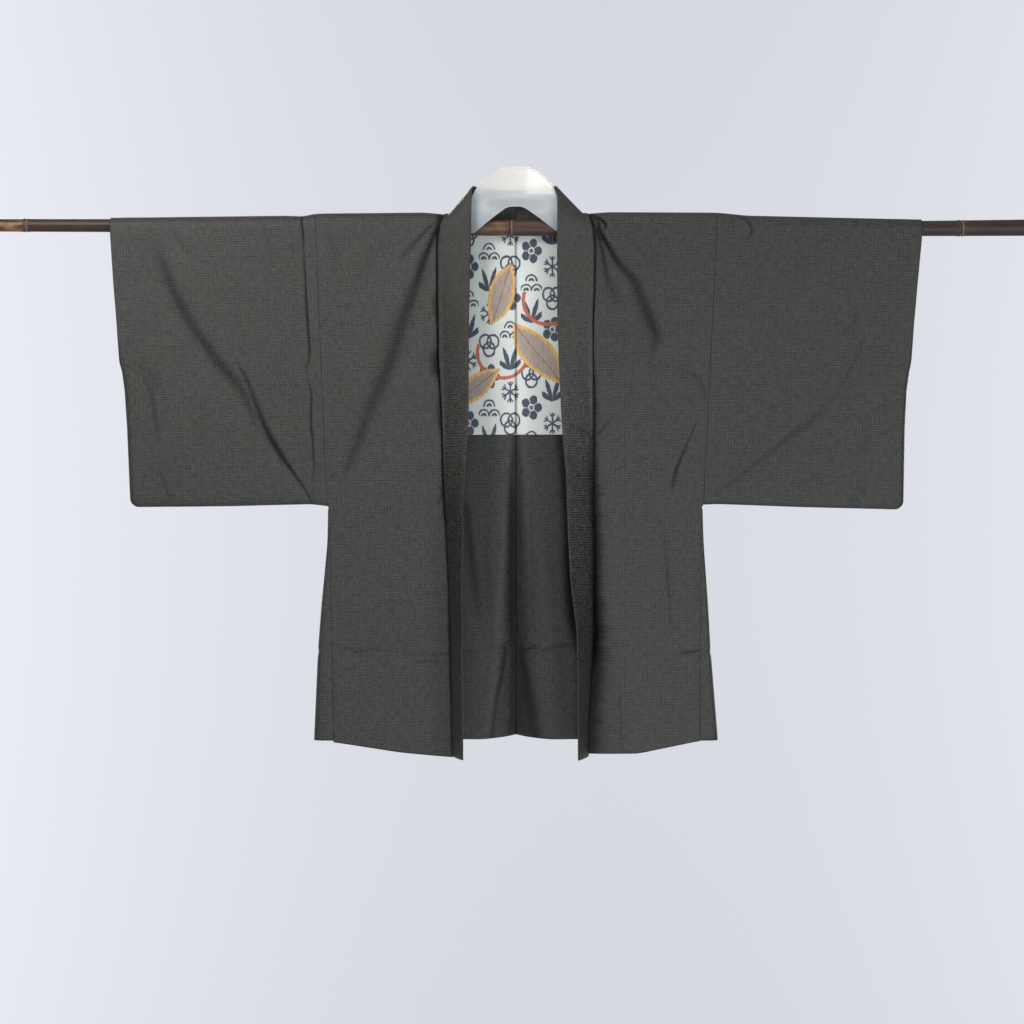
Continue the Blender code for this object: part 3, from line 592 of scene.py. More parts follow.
def front_depth(side, x, across, z, seen_z):
    """How far the front panel lies in front of the rod's axis, and the shade painted on it."""
    side_gap = level(SIDE_GAP, z, 1)
    depth = side_gap + (HALF_GAP - side_gap) * (1 - across) ** 1.5
    height, shade = crease_height("front_" + side, x, seen_z)
    height = height + RIPPLE * ripple(x, z, 1 if side == "left" else 2) * ease(-z, 20, 120)
    free = ease(-z, -20, 12) * ease(1 - across, 0, 0.05)
    sink, half_width = collar_valley(side, z)
    past = np.maximum(0, x - collar_seam(side, z)[0])
    half_width = half_width * (1 + 0.3 * ripple(z * 0, z, 3, 9.0))
    near = np.exp(-(past / half_width) ** 2)
    shade = np.maximum(shade, np.minimum(1, level(COLLAR_VALLEY, z, side_column(side) + 4) * near))
    sink = sink * near
    return depth + height * free - sink * ease(-z, -20, 12), shade


def back_depth(side, x, z, seen_z):
    """How far the back panel lies behind the rod's axis, and the shade painted on it: its creases,
    the centre seam's dark line, and a painted highlight on the seam's right lip lower down.
    """
    outer = panel_side(side, z)
    side_gap = level(SIDE_GAP, z, 1)
    depth = side_gap + (HALF_GAP - side_gap) * (1 - np.clip(x / outer, 0, 1) ** 2.5)
    from_seam = np.maximum(0, x - BACK_SEAM_FLAT) / level(BACK_RIDGE, z, 2, 20)
    depth = depth + level(BACK_RIDGE, z, 1, 20) * np.maximum(0, 1 - from_seam) ** 2
    height, crease = crease_height("back_" + side, x, seen_z)
    height = height + RIPPLE * ripple(x, z, 4 if side == "left" else 5) * ease(-z, 20, 120)
    # Painted highlight on the centre seam's right lip, lower down; it is taken off the shade.
    edge = np.exp(-(x - BACK_SEAM_HIGHLIGHT) ** 2) * ease(-z, 460, 580) * (side == "right")
    crease = np.maximum(crease, np.exp(-(x / 1.5) ** 2)) - 0.25 * edge
    return depth - height * ease(-z, *BELOW_ROD) * ease(outer - x, 0, 12), crease


FRONT_ROWS, ARCH_ROWS, BACK_ROWS = 270, 16, 190
STRIP_COLUMNS, NECK_COLUMNS = 80, 40
CREST_DROP, CREST_HALF_ANGLE = 1.2, 14
BODY_OVER_ROD = 52      # length of the cloth between front and back
BODY_FLAT = (1000, 1000)


def over_top(row, front_rows):
    """Whether a row hangs in front, whether behind, and how far it has turned over the rod."""
    turn = np.radians(np.clip((row - front_rows) / ARCH_ROWS, 0, 1) * 180)
    return row <= front_rows, row >= front_rows + ARCH_ROWS, turn


def crest(turn):
    """How the cloth over the rod falls away from its top, as a height of 0 or less."""
    away = (np.degrees(turn) - 90) / CREST_HALF_ANGLE
    return CREST_DROP * np.exp(-away ** 2) - CREST_DROP


def hung_length(z, front, back, turn, over):
    """Distance along the cloth from the front's top, less than 0 down the front."""
    return np.where(front, z, 0) + np.where(back, -z, 0) + np.degrees(turn) / 180 * over


def body_strip(side):
    """From the front hem over the rod to the back hem, beside the neck."""
    sign = SIDES[side]
    rows = FRONT_ROWS + ARCH_ROWS + BACK_ROWS

    def place(u, v):
        across, row = crowd_edges(u), np.round(v * rows)
        front, back, turn = over_top(row, FRONT_ROWS)
        hem = level(FRONT_HEM, across, side_column(side), 0.05)
        z = np.where(front, hem * np.maximum(0, 1 - row / FRONT_ROWS) ** 1.25, 0)
        inner = np.where(front, front_inner_edge(side, z), 0)
        start = front_inner_edge(side, 0.0)
        inner = np.where(front, inner, start + (BACK_NECK_HALF - start) * np.degrees(turn) / 180)
        fall = np.clip((row - FRONT_ROWS - ARCH_ROWS) / BACK_ROWS, 0, 1)
        x = inner + across * (panel_side(side, z) - inner)
        back_z = fall * level(BACK_HEM, x, 1, 4)
        back_x = BACK_NECK_HALF + across * (panel_side(side, back_z) - BACK_NECK_HALF)
        x, z = np.where(back, back_x, x), np.where(back, back_z, z)
        height = (level(SHOULDER, x, side_column(side)) + crest(turn)) * np.sin(turn)
        seen_z = np.where(front | back, z, height)
        front_y, front_crease = front_depth(side, x, across, z, seen_z)
        back_y, back_crease = back_depth(side, x, z, seen_z)
        part = np.degrees(turn) / 180
        over = np.where(back, back_y, front_y * (1 - part) + back_y * part)
        depth = np.where(front, front_y, over)
        points = np.stack([sign * x, -depth * np.cos(turn), seen_z], 1)
        flat = np.stack([sign * x, hung_length(z, front, back, turn, BODY_OVER_ROD)], 1) + BODY_FLAT
        return points, flat, np.where(part > 0.5, back_crease, front_crease)

    return cloth_points(STRIP_COLUMNS, rows, place)


def body_neck_part(side):
    """The back from its centre seam out to the line below the neck's corner."""
    sign = SIDES[side]

    def place(u, v):
        row = 1 - v
        across = u - 0.5 * np.sin(math.pi * u) / math.pi
        x = across * (BACK_NECK_HALF + CENTRE_LAP) - CENTRE_LAP
        z = row * level(BACK_HEM, x, 1, 4)
        z = z + BACK_NECK_RISE * ease(BACK_NECK_HALF - x, 0, BACK_NECK_CORNER) * ease(-z, 30, 0)
        depth, crease = back_depth(side, x, z, z)
        points = np.stack([sign * x, depth, z], 1)
        flat = np.stack([sign * x + BODY_FLAT[0], BODY_FLAT[1] + BODY_OVER_ROD - z], 1)
        return points, flat, crease

    return cloth_points(NECK_COLUMNS, BACK_ROWS, place)


body = {}
for side in SIDES:
    body[side] = cloth_piece("silk_body_" + side, [body_strip(side), body_neck_part(side)],
                             CLOTH_WALL, silk)
    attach(body[side], "root")
    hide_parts("body_" + side)

# ---------------------------------------------------------------------------------------------
# Sleeves.  Each is one length of the same silk folded over the rod into a flat bag, its outer
# edge sewn up below the opening for the hand and its lower corner rounded.  The seam to the
# body is pressed outwards, and storing the jacket flat left a crease across both.
# ---------------------------------------------------------------------------------------------
EDGE_CLOSE = 3.0
CUFF_OPENING = 268.0
SLEEVE_CORNER = 14.0
CUFF = [  # z, left, right
    (14, 669.5, 669.7),
    (-20, 667.6, 668.0),
    (-85, 663.7, 662.0),
    (-160, 657.9, 655.6),
    (-222, 654.0, 651.6),
    (-238, 649.6, 648.4),
    (-270, 646.1, 645.0),
    (-330, 642.1, 641.9),
    (-442, 637.2, 639.8),
    (-465, 636.3, 639.2),
]
CUFF_GAP = [  # z, half the depth at the outer edge
    (0, 14.5),
    (-100, 13.0),
    (-150, 11.0),
    (-200, 8.0),
    (-240, 4.0),
    (-CUFF_OPENING, 0.0),
]
SLEEVE_BOTTOM = [  # across, left, right
    (0, -459.0, -456.4),
    (0.08, -455.6, -455.4),
    (0.5, -459.0, -460.5),
    (1, -460.5, -464.5),
]
CREASES.update({
    "sleeve_front_left": [
        (-0.45, 0.04, 0.22, [(596, -10, 0, 10), (585, -42, 0.5, 11), (575, -79, 0.9, 12),
            (553, -127, 1.05, 12), (532, -164, 1.05, 11), (507, -199, 1.15, 10.5),
            (483, -232, 1.1, 10.5), (456, -262, 1.1, 9), (441, -295, 1.1, 6), (430, -325, 0.7, 4),
            (424, -345, 0, 2.5)]),
        (-0.55, 0.1, 0.5, [(459, -221, 0, 2.5), (452, -234, 0.8, 3), (440, -258, 0.9, 4),
            (429, -289, 1, 5), (413, -330, 1.15, 6), (394, -365, 1.3, 6.5), (374, -394, 1.2, 4.5),
            (349, -430, 1.15, 2), (337, -452, 1.1, 1.6)]),
        (-0.3, 0.2, 0.3, [(460, -190, 0, 1.8), (452, -203, 0.9, 2), (445, -216, 0, 1.8)]),
        (0.42, 0, 0.26, [(637, -227, 0, 5), (616, -241, 0.7, 6), (602, -269, 0.9, 6),
            (595, -306, 1, 6), (590, -343, 0.8, 5.5), (589, -371, 0.3, 5), (589, -396, 0.6, 5),
            (579, -425, 1, 5.5), (567, -454, 1, 6)]),
        (-0.3, 0, 0.1, [(573, 7, 0, 4), (563, -10, 0.8, 4.5), (548, -28, 0.7, 5),
            (534, -42, 0.5, 5), (511, -59, 0, 6)]),
        (0.35, 0, 0.15, [(418, 7, 0, 3), (414, -8, 0.9, 3.2), (410, -24, 0.8, 3.5),
            (405, -49, 0.4, 4), (404, -67, 0, 4)]),
        (0.35, 0.55, 0.75, [(354, 18, 1.1, 2), (350, -14, 1.1, 2.2), (349, -40, 0.6, 2),
            (347, -75, 0.9, 2), (345, -125, 1.15, 2.4), (342, -170, 1.1, 2.4),
            (340, -211, 0.9, 2.2), (345, -232, 0.5, 2.2), (342, -252, 0.3, 2.2),
            (337, -277, 0.9, 2.2), (338, -318, 1, 2.2), (335, -355, 1, 2.2), (333, -392, 0.7, 2),
            (334, -421, 0.4, 2), (334, -454, 0.3, 2)]),
        (0.3, 0.3, 0.2, [(370, -26, 0, 2), (367, -35, 0.9, 2.4), (363, -45, 0, 2)]),
        (0.25, 0.3, 0.25, [(590, -254, 0, 2.2), (614, -245, 0.6, 2.2), (631, -237, 0.8, 2),
            (645, -227, 1, 2)]),
        (0.25, 0, 0, [(540, -277, 0, 9), (544, -318, 0.7, 10), (538, -359, 0.7, 10),
            (532, -408, 0, 10)]),
        (0.1, 0, 0.2, [(652, -222, 0, 8), (632, -224, 0.9, 11), (608, -240, 0.9, 13),
            (596, -262, 0.6, 12), (588, -284, 0, 10)]),
        (0.3, 0, 0.1, [(400, -421, 0, 4), (390, -433, 0.7, 4), (377, -454, 0.7, 4)]),
        (0.25, 0, 0.1, [(641, -158, 0, 6), (638, -186, 0.8, 6), (642, -219, 0.7, 5),
            (643, -232, 0, 5)]),
    ],
    "sleeve_front_right": [
        (0.3, 0.5, 0.6, [(364, 16, 0.6, 1.8), (379, 12, 0.9, 2.2), (386, 1, 1.1, 2.4),
            (387, -9, 1, 2.4), (382, -19, 0.5, 2.4), (378, -26, 0, 2.4)]),
        (0.45, 0.04, 0.26, [(319, -443, 0.5, 2.5), (348, -426, 1, 4), (377, -404, 0.95, 5.5),
            (405, -380, 0.9, 6.5), (434, -358, 0.9, 8), (459, -338, 0.9, 9), (488, -317, 0.8, 8.5),
            (508, -295, 0.6, 8), (529, -275, 0.7, 7), (545, -246, 0.7, 6), (562, -211, 0.9, 4.5),
            (571, -188, 0.7, 4), (572, -170, 0, 4)]),
        (0.3, 0.15, 0.15, [(475, -230, 0, 2.5), (492, -227, 0.8, 2.5), (516, -225, 0.8, 2.5),
            (533, -224, 0, 2.5)]),
        (0.3, 0, 0.14, [(566, -129, 0, 4), (560, -145, 0.8, 4), (551, -166, 0.7, 5),
            (533, -178, 0, 5)]),
        (0.25, 0.25, 0.25, [(545, -227, 0, 2), (566, -234, 0.5, 2), (590, -225, 0.6, 2),
            (619, -227, 0.8, 2), (645, -227, 0.9, 2)]),
        (0.3, 0, 0, [(590, -289, 0, 6), (582, -318, 0.6, 6), (572, -359, 0.9, 6),
            (566, -380, 0, 6)]),
        (0.3, 0, 0.12, [(572, -421, 0, 4), (558, -437, 0.8, 4), (551, -460, 0.9, 4)]),
        (0.3, 0, 0, [(332, -252, 0, 3.5), (333, -285, 0.8, 3.5), (333, -326, 0.9, 3.5),
            (330, -359, 0.6, 3.5), (327, -384, 0, 3.5)]),
        (-0.2, 0, 0, [(496, -38, 0, 9), (504, -67, 0.8, 9), (496, -100, 0.8, 10),
            (475, -129, 0.6, 10), (459, -162, 0, 10)]),
        (0.25, 0.25, 0.3, [(645, -262, 0.9, 2), (623, -258, 0.4, 2), (607, -252, 0, 2)]),
    ],
    "sleeve_back_left": [
        (-0.45, 0, 0, [(572, -20, 0, 8), (556, -90, 0.8, 10), (520, -170, 1, 11),
            (470, -240, 1, 11), (420, -300, 1, 10), (380, -360, 1.1, 9), (350, -420, 1, 6),
            (338, -456, 0.8, 4)]),
        (0.35, 0, 0, [(604, -230, 0, 6), (598, -300, 0.8, 7), (584, -380, 0.9, 7),
            (572, -456, 0.8, 7)]),
        (0.25, 0.25, 0.1, [(520, -232, 0, 2.2), (590, -230, 0.6, 2.2), (656, -234, 0.9, 2)]),
        (0.3, 0.5, 0.35, [(352, 12, 0.8, 2), (347, -120, 0.9, 2.2), (344, -260, 0.7, 2.2),
            (337, -440, 0.5, 2)]),
    ],
    "sleeve_back_right": [
        (-0.42, 0, 0, [(576, -30, 0, 8), (560, -110, 0.8, 10), (520, -190, 1, 11),
            (466, -262, 1, 11), (410, -330, 0.9, 10), (366, -392, 0.9, 8), (340, -452, 0.7, 5)]),
        (0.32, 0, 0, [(606, -200, 0, 6), (600, -290, 0.8, 7), (590, -380, 0.8, 7),
            (584, -460, 0.7, 7)]),
        (0.25, 0.25, 0.1, [(500, -236, 0, 2.2), (580, -233, 0.6, 2.2), (652, -243, 0.9, 2)]),
        (0.35, 0.3, 0.2, [(352, 12, 0.6, 2.4), (362, -20, 0.8, 3), (366, -60, 0, 3)]),
    ],
})
SLEEVE_ROWS, SLEEVE_COLUMNS = 150, 116
SLEEVE_OVER_ROD = 48    # length of the cloth between front and back
CREST_END = 640         # past this the cloth lies flat on the rod's top
SLEEVE_FLAT = (3000, 2000)


def closing(distance):
    """How far two layers have parted, at a distance from the edge that joins them."""
    return 1 - np.exp(-distance / EDGE_CLOSE)


def sleeve_cloth(side):
    """From the front's lower edge over the rod to the back's, between armhole and cuff."""
    sign, column = SIDES[side], side_column(side)
    rows = 2 * SLEEVE_ROWS + ARCH_ROWS

    def place(u, v):
        across, row = crowd_edges(u, 0.5), np.round(v * rows)
        front, back, turn = over_top(row, SLEEVE_ROWS)
        rise = np.where(front, row / SLEEVE_ROWS, (rows - row) / SLEEVE_ROWS)
        rise = np.clip(rise, 0, 1)
        rise = rise + 0.25 * np.sin(math.pi * rise) * (rise - 1) / math.pi
        bottom = level(SLEEVE_BOTTOM, across, column, 0.03)
        z = bottom * (1 - rise)
        inner = level(SIDE_SEAM, np.maximum(z, ARMHOLE_END), column) + SEAM_GAP[side] / 2
        outer = level(CUFF, z, column, 4)
        x = inner + across * (outer - inner)
        edge_distance, bottom_distance = outer - x, z - bottom
        right, down = SLEEVE_CORNER - edge_distance, SLEEVE_CORNER - bottom_distance
        corner = (right > 0) & (down > 0)
        shrink = np.maximum(right, down) / np.maximum(np.hypot(right, down), 1e-6)
        x = np.where(corner, outer - SLEEVE_CORNER + right * shrink, x)
        z = np.where(corner, bottom + SLEEVE_CORNER - down * shrink, z)
        top_gap = HALF_GAP + (level(CUFF_GAP, 0.0, 1, 0.1) - HALF_GAP) * across
        gap = level(SIDE_GAP, z, 1) * top_gap / HALF_GAP
        edge_gap = np.minimum(gap, level(CUFF_GAP, z, 1, 3) * (z > -CUFF_OPENING))
        gap = edge_gap + (gap - edge_gap) * closing(edge_distance)
        gap = gap * closing(bottom_distance)
        held = closing(edge_distance) * closing(bottom_distance) * ease(x - inner, 0, 6)
        dip = crest(turn) * ease(CREST_END - x, 0, 100)
        height = (level(SHOULDER, x, column) + dip) * np.sin(turn)
        seen_z = np.where(front | back, z, height)
        front_lift, front_crease = crease_height("sleeve_front_" + side, x, seen_z)
        back_lift, back_crease = crease_height("sleeve_back_" + side, x, seen_z)
        lift = np.where(front, front_lift, np.where(back, back_lift, 0)) * ease(-z, *BELOW_ROD)
        lift = lift + RIPPLE * ripple(x, z, 7 + 3 * column) * ease(-z, 20, 100)
        depth = gap + held * np.maximum(lift, -0.75 * gap)
        points = np.stack([sign * x, -depth * np.cos(turn), seen_z], 1)
        down = hung_length(z, front, back, turn, SLEEVE_OVER_ROD)
        flat = np.stack([sign * x, down], 1) + SLEEVE_FLAT
        return points, flat, np.where(turn > math.pi / 2, back_crease, front_crease) * held

    return cloth_points(SLEEVE_COLUMNS, rows, place)


sleeve = {}
for side in SIDES:
    sleeve[side] = cloth_piece("silk_sleeve_" + side, [sleeve_cloth(side)], CLOTH_WALL, silk)
    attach(sleeve[side], "root")
    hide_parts("sleeve_" + side)

# ---------------------------------------------------------------------------------------------
# Gussets.  A narrow wedge of the silk is sewn between front and back below each sleeve and
# folded outwards along its middle.
# ---------------------------------------------------------------------------------------------
GUSSET_START, GUSSET_END = -463.5, -846
GUSSET_FLAT = (5000, 1000)
GUSSET_TUCK = (2.5, 1.3)        # how far its edges turn in at the seam, sideways and in depth
GUSSET_NOTCH = (-700, 5, 1.2)   # height, half width and depth of the crease pressed across it
GUSSET_FOLD = [  # z, left, right
    (-463, 309.9, 307.8),
    (-520, 311.0, 309.6),
    (-619, 320.5, 316.7),
    (-694, 326.3, 320.8),
    (-846, 333.0, 333.0),
]
GUSSET_PROFILE = [(0, 1), (0.5, 0.93), (0.8, 0.74), (0.93, 0.42), (1, 0)]
GUSSET_ROWS, GUSSET_COLUMNS = 90, 20


def gusset_cloth(side):
    """From the front seam out to the fold and back to the rear seam."""
    sign, column = SIDES[side], side_column(side)

    def place(u, v):
        z = GUSSET_START + v * (GUSSET_END - GUSSET_START)
        seam = level(SIDE_SEAM, z, column, 3) + SEAM_GAP[side] / 2
        fold = level(GUSSET_FOLD, z, column, 12)
        out = 1 - np.abs(2 * u - 1)
        shape = np.interp(out, *zip(*GUSSET_PROFILE))
        gap = level(SIDE_GAP, z, 1)
        crease_z, half_width, notch = GUSSET_NOTCH
        notch = notch * np.exp(-((z - crease_z) / half_width) ** 2) * out
        x = seam - GUSSET_TUCK[0] * (1 - out) ** 6 + out * (fold - seam) - notch
        y = -(gap * shape - GUSSET_TUCK[1] * (1 - out) ** 6) * np.where(u < 0.5, 1, -1)
        flat = np.stack([sign * x, z], 1) + GUSSET_FLAT
        return np.stack([sign * x, y, z], 1), flat, np.zeros(len(u))

    return cloth_points(GUSSET_COLUMNS, GUSSET_ROWS, place)


gusset = {}
for side in SIDES:
    gusset[side] = cloth_piece("silk_gusset_" + side, [gusset_cloth(side)], CLOTH_WALL, silk)
    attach(gusset[side], "root")
    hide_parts("gusset_" + side)

# ---------------------------------------------------------------------------------------------
# Collar.  A long band of the silk is sewn round the neck and down both fronts and folded
# outwards in half, flat on the chest and turning edge-on towards the hem.
# ---------------------------------------------------------------------------------------------
COLLAR_WIDTH = {"left": 58.0, "right": 63.0}
LAYER_PITCH = 1.7
FOLD_HALF_SPREAD = {"left": 72.8, "right": 67.2}
COLLAR_SETBACK = 0.5
LEAST_LAP = 0.01
COLLAR_BULGE = 1.4
# Painted shade along the collar band's free edge.
COLLAR_EDGE_SHADE = 0.8        # how dark the band's free edge is
COLLAR_FLAT = (7000, 1000)
NECK = [  # seam x, seam angle, seam lift, fold x, fold y, fold z, edge x, edge angle
    (0, 180, 6.5, 0.00, 20.5, 67.0, 0, 184),
    (35, 180, 6.5, 0.37, 19.0, 67.0, 36, 184),
    (66, 180, 6.5, 0.67, 14.5, 67.8, 69, 185),
    (88, 180, 6.5, 0.86, 7.5, 68.8, 97, 180),
    (98.5, 150, 0, 0.93, 2.0, 69.4, 105, 150),
    (103, 120, 0, 0.955, -4.0, 69.0, 111, 120),
    (107, 90, 0, 0.975, -11.0, 64.2, 115, 90),
    (110.7, 60, 0, 0.985, -17.0, 54.5, 119, 60),
    (114, 30, 0, 0.995, -22.5, 39.5, 122.5, 30),
    (117.5, 0, 0, 1.00, -27.0, 19.5, 126.0, 0),
]
COLLAR_STATIONS = [-30, -62, -93, -124, -156, -187, -217, -250, -283, -316, -362, -408, -437,
                   -466, -501, -541, -582, -622, -662, -704, -743, -783, -826, -871]
CREASES.update({
    "collar_right": [
        (0.2, 0.5, 0.75, [(85, -324, 0.8, 1.6), (101, -331, 0.9, 1.6), (118, -339, 1, 1.8),
            (130, -347, 1, 1.8)]),
        (0.2, 0.3, 0.25, [(99, -221, 0, 1.6), (109, -220, 0.7, 1.6), (132, -221, 0.8, 1.6)]),
        (0.3, 0, 0.12, [(103, -343, 0, 3.5), (104, -367, 0.8, 3.5), (105, -400, 0.6, 3.5),
            (106, -429, 0, 3.5)]),
    ],
})
COLLAR_LENGTHS = 300
COLLAR_SECTION = (12, 8, 24)        # steps on the inner layer, round the fold, on the flap


def over_rod(x, depth, angle, side):
    """A point of the cloth over the rod, from the front (0 degrees) to the back (180)."""
    turn = math.radians(angle)
    rise = float(level(SHOULDER, x, side_column(side), 0.1)) if 0 < angle < 180 else depth
    around = math.cos(math.radians(min(180, max(0, angle))))
    return [x, -depth * around, rise * math.sin(turn)]


def collar_lines(side):
    """Stations of the sewn line, the fold and the free edge, from centre back to hem."""
    stations = []
    for seam_x, seam_angle, lift, fold_x, fold_y, fold_z, edge_x, edge_angle in NECK:
        seam = over_rod(seam_x, HALF_GAP, seam_angle, side)
        seam[2] += lift
        fold = [fold_x * FOLD_HALF_SPREAD[side], fold_y, fold_z]
        stations.append([seam, fold, over_rod(edge_x, HALF_GAP, edge_angle, side)])
    first = 1 if side == "left" else 3
    for z in COLLAR_STATIONS:
        edge, fold, lap, raised = [float(level(COLLAR_FRONT, z, column, 0.1))
                                   for column in (first, first + 1, 5, 6)]
        seam = edge - lap
        reach = math.sqrt(max(0.0, (COLLAR_WIDTH[side] - lap) ** 2 - (seam - fold) ** 2))
        front = float(collar_valley(side, z)[0]) - HALF_GAP
        stations.append([[seam, front, z], [fold, -HALF_GAP - reach, z + raised],
                         [edge + LEAST_LAP, front, z]])
    lines = np.array(stations)
    x = lines[:, :, 0]
    lines[:, :, 0] = np.where(x < CENTRE_LAP, -CENTRE_LAP, x) * SIDES[side]
    return lines.transpose(1, 0, 2)


def through(points, where):
    """A curve through points, read at places counted in points."""
    padded = np.concatenate([[2 * points[0] - points[1]], points, [2 * points[-1] - points[-2]]])
    index = np.clip(where.astype(int), 0, len(points) - 2)
    return curve(*[padded[index + shift] for shift in range(4)], (where - index)[:, None])


def unit(vectors):
    return vectors / np.linalg.norm(vectors, axis=-1, keepdims=True)


# Painted shade on each collar band by height, left and right; below 0 it is painted light.
COLLAR_PAINTED_SHADE = [  # height, how much darker the left and the right band hangs
    (-845, 0.02, 0.14),
    (-740, 0.08, 0.14),
    (-640, 0.28, 0.14),
    (-560, 0.30, 0.04),
    (-470, 0.30, -0.08),
    (-400, 0.10, -0.22),
    (-340, -0.02, -0.26),
    (-250, 0.12, -0.18),
    (-180, 0.18, -0.14),
    (-60, 0.20, -0.06),
    (20, 0.14, -0.02),
    (60, 0.0, 0.0),
]


def collar_cloth(side):
    sign = SIDES[side]
    lines = collar_lines(side)
    steps = np.linalg.norm(np.diff(lines[1], axis=0), axis=1)
    lengths = np.concatenate([[0], np.cumsum(steps)])
    even = np.linspace(0, lengths[-1], COLLAR_LENGTHS + 1)
    where = np.interp(even, lengths, np.arange(len(lengths)))
    seam, fold, edge = [through(line, where) for line in lines]
    run = unit(np.gradient(seam + fold, axis=0))
    reach = unit(fold - seam)
    out = unit(np.cross(run, reach)) * -sign
    lap = seam - edge
    wide = np.linalg.norm(lap, axis=1, keepdims=True)
    panel_out = unit(np.cross(unit(np.gradient(edge, axis=0)), lap / np.maximum(wide, 1e-6)) + 1e-9)
    panel_out = np.where(wide > 0.5, panel_out * -sign, [[0.0, -1.0, 0.0]])
    corner = unit(out + panel_out)
    corner = corner / np.maximum(0.5, np.sum(corner * out, axis=1, keepdims=True))
    turn = fold - reach * (LAYER_PITCH / 2 + CLOTH_WALL / 2)
    inner_steps, fold_steps, flap_steps = COLLAR_SECTION
    total = sum(COLLAR_SECTION)

    def section(part):
        """The band's points at one part of its width, for every station."""
        place = part * total
        if place <= inner_steps:
            share = place / inner_steps
            return (seam + reach * COLLAR_SETBACK) * (1 - share) + turn * share
        if place <= inner_steps + fold_steps:
            angle = math.pi * (place - inner_steps) / fold_steps
            radius = LAYER_PITCH / 2
            return turn + out * radius * (1 - math.cos(angle)) + reach * radius * math.sin(angle)
        share = (place - inner_steps - fold_steps) / flap_steps
        first, middle = turn + out * LAYER_PITCH, seam + corner * LAYER_PITCH
        last = edge + panel_out * LAYER_PITCH
        long = np.linalg.norm(middle - first, axis=1, keepdims=True)
        short = np.linalg.norm(last - middle, axis=1, keepdims=True)
        walked = share * (long + short)
        on_flap = first + (middle - first) * np.minimum(1, walked / long)
        past = np.maximum(0, walked - long)
        on_lap = middle + (last - middle) * past / np.maximum(short, 1e-6)
        bulge = out * COLLAR_BULGE * math.sin(math.pi * share) ** 0.8
        return np.where(past > 0, on_lap, on_flap) + bulge

    grid = np.array([section(index / total) for index in range(total + 1)])

    def place(u, v):
        column, row = np.round(u * total).astype(int), np.round(v * COLLAR_LENGTHS).astype(int)
        points = grid[column, row]
        height, crease = crease_height("collar_" + side, np.abs(points[:, 0]), points[:, 2])
        flap = ease(column, inner_steps - 1, inner_steps + fold_steps)
        points = points + out[row] * (height * flap)[:, None]
        width = column / total * 2 * COLLAR_WIDTH[side]
        flat = np.stack([sign * width, even[row]], 1) + COLLAR_FLAT
        reach_in = 0.8 + 3.5 * ease(-points[:, 2], 260, 420) * (side == "right")
        # Painted shade along the band's free edge, reaching further in on the lower right band.
        rim = COLLAR_EDGE_SHADE * np.exp(-((total - column) / reach_in) ** 2)
        # Painted shade on the collar bands by height; below 0 it is painted light.
        tint = level(COLLAR_PAINTED_SHADE, points[:, 2], side_column(side), 20)
        return points, flat, np.maximum(crease * flap, rim) + tint * flap

    return cloth_points(total, COLLAR_LENGTHS, place)


collar_silk = silk_material("collar_silk", (0.0268, 0.0250, 0.0203), (0.0194, 0.0216, 0.0230),
                            1.0, 2.1)
collar = {}
for side in SIDES:
    collar[side] = cloth_piece("silk_collar_" + side, [collar_cloth(side)], CLOTH_WALL, collar_silk)
    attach(collar[side], "root")
    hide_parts("collar_" + side)

# ---------------------------------------------------------------------------------------------
# Lining.  The upper back is lined with smooth pale grey-green silk, printed in ink blue with
# small blossoms, bamboo leaves, linked rings and waves, and with large ochre leaves on russet
# stems.  It lies just inside the back and ends where the turned-up silk begins.
# ---------------------------------------------------------------------------------------------
LINING_WALL = 1.0
LINING_SEAM_GAP = 0.2
LINING_END = -341.0
LINING_INSET = CLOTH_WALL / 2 + 0.3 + 0.1 + LINING_WALL / 2
LINING_COLUMNS, LINING_ROWS = 84, 90


def lining_cloth(side):
    sign = SIDES[side]

    def surface(x, z):
        return np.stack([x, back_depth(side, x, z, z)[0], z], 1)

    def place(u, v):
        outer = panel_side(side, v * LINING_END)
        x = LINING_SEAM_GAP / 2 + u * (outer - LINING_SEAM_GAP / 2)
        neck = ease(BACK_NECK_HALF - x, 0, BACK_NECK_CORNER) * (v < 0.001)
        z = v * LINING_END + BACK_NECK_RISE * neck
        centre = surface(x, z)
        normal = unit(np.cross(surface(x + 1, z) - centre, surface(x, z - 1) - centre))
        normal *= -np.sign(normal[:, 1:2])
        normal[:, 0] *= ease(x, 1, 20)
        points = centre + unit(normal) * LINING_INSET
        points[:, 1] += 0.5 * np.exp(-(x / 1.6) ** 2)
        points[:, 0] *= sign
        return points, np.stack([sign * x, z], 1), np.exp(-(x / 1.2) ** 2)

    return cloth_points(LINING_COLUMNS, LINING_ROWS, place)


def soft_mask(tree, value, edge):
    """1 where the value is well above 0, 0 where it is well below."""
    return ramp(tree, value, -edge, edge)


def lens(tree, p, q, length, half_width):
    """How deep a point lies in a pointed leaf about the origin, 0 at its outline."""
    along = calc(tree, "DIVIDE", q, length)
    wide = calc(tree, "SUBTRACT", 1.0, calc(tree, "MULTIPLY", along, along))
    limit = calc(tree, "MULTIPLY", wide, half_width)
    inside = calc(tree, "SUBTRACT", limit, calc(tree, "ABSOLUTE", p))
    return calc(tree, "MINIMUM", inside, calc(tree, "SUBTRACT", length, calc(tree, "ABSOLUTE", q)))


def turned(tree, p, q, centre, degrees):
    """Coordinates about a centre, turned anticlockwise."""
    cosine, sine = math.cos(math.radians(degrees)), math.sin(math.radians(degrees))
    p, q = calc(tree, "SUBTRACT", p, centre[0]), calc(tree, "SUBTRACT", q, centre[1])
    new_p = calc(tree, "MULTIPLY_ADD", p, cosine, calc(tree, "MULTIPLY", q, sine))
    new_q = calc(tree, "MULTIPLY_ADD", q, cosine, calc(tree, "MULTIPLY", p, -sine))
    return new_p, new_q


def radius_of(tree, p, q):
    return calc(tree, "SQRT", calc(tree, "ADD", calc(tree, "MULTIPLY", p, p),
                                   calc(tree, "MULTIPLY", q, q)))


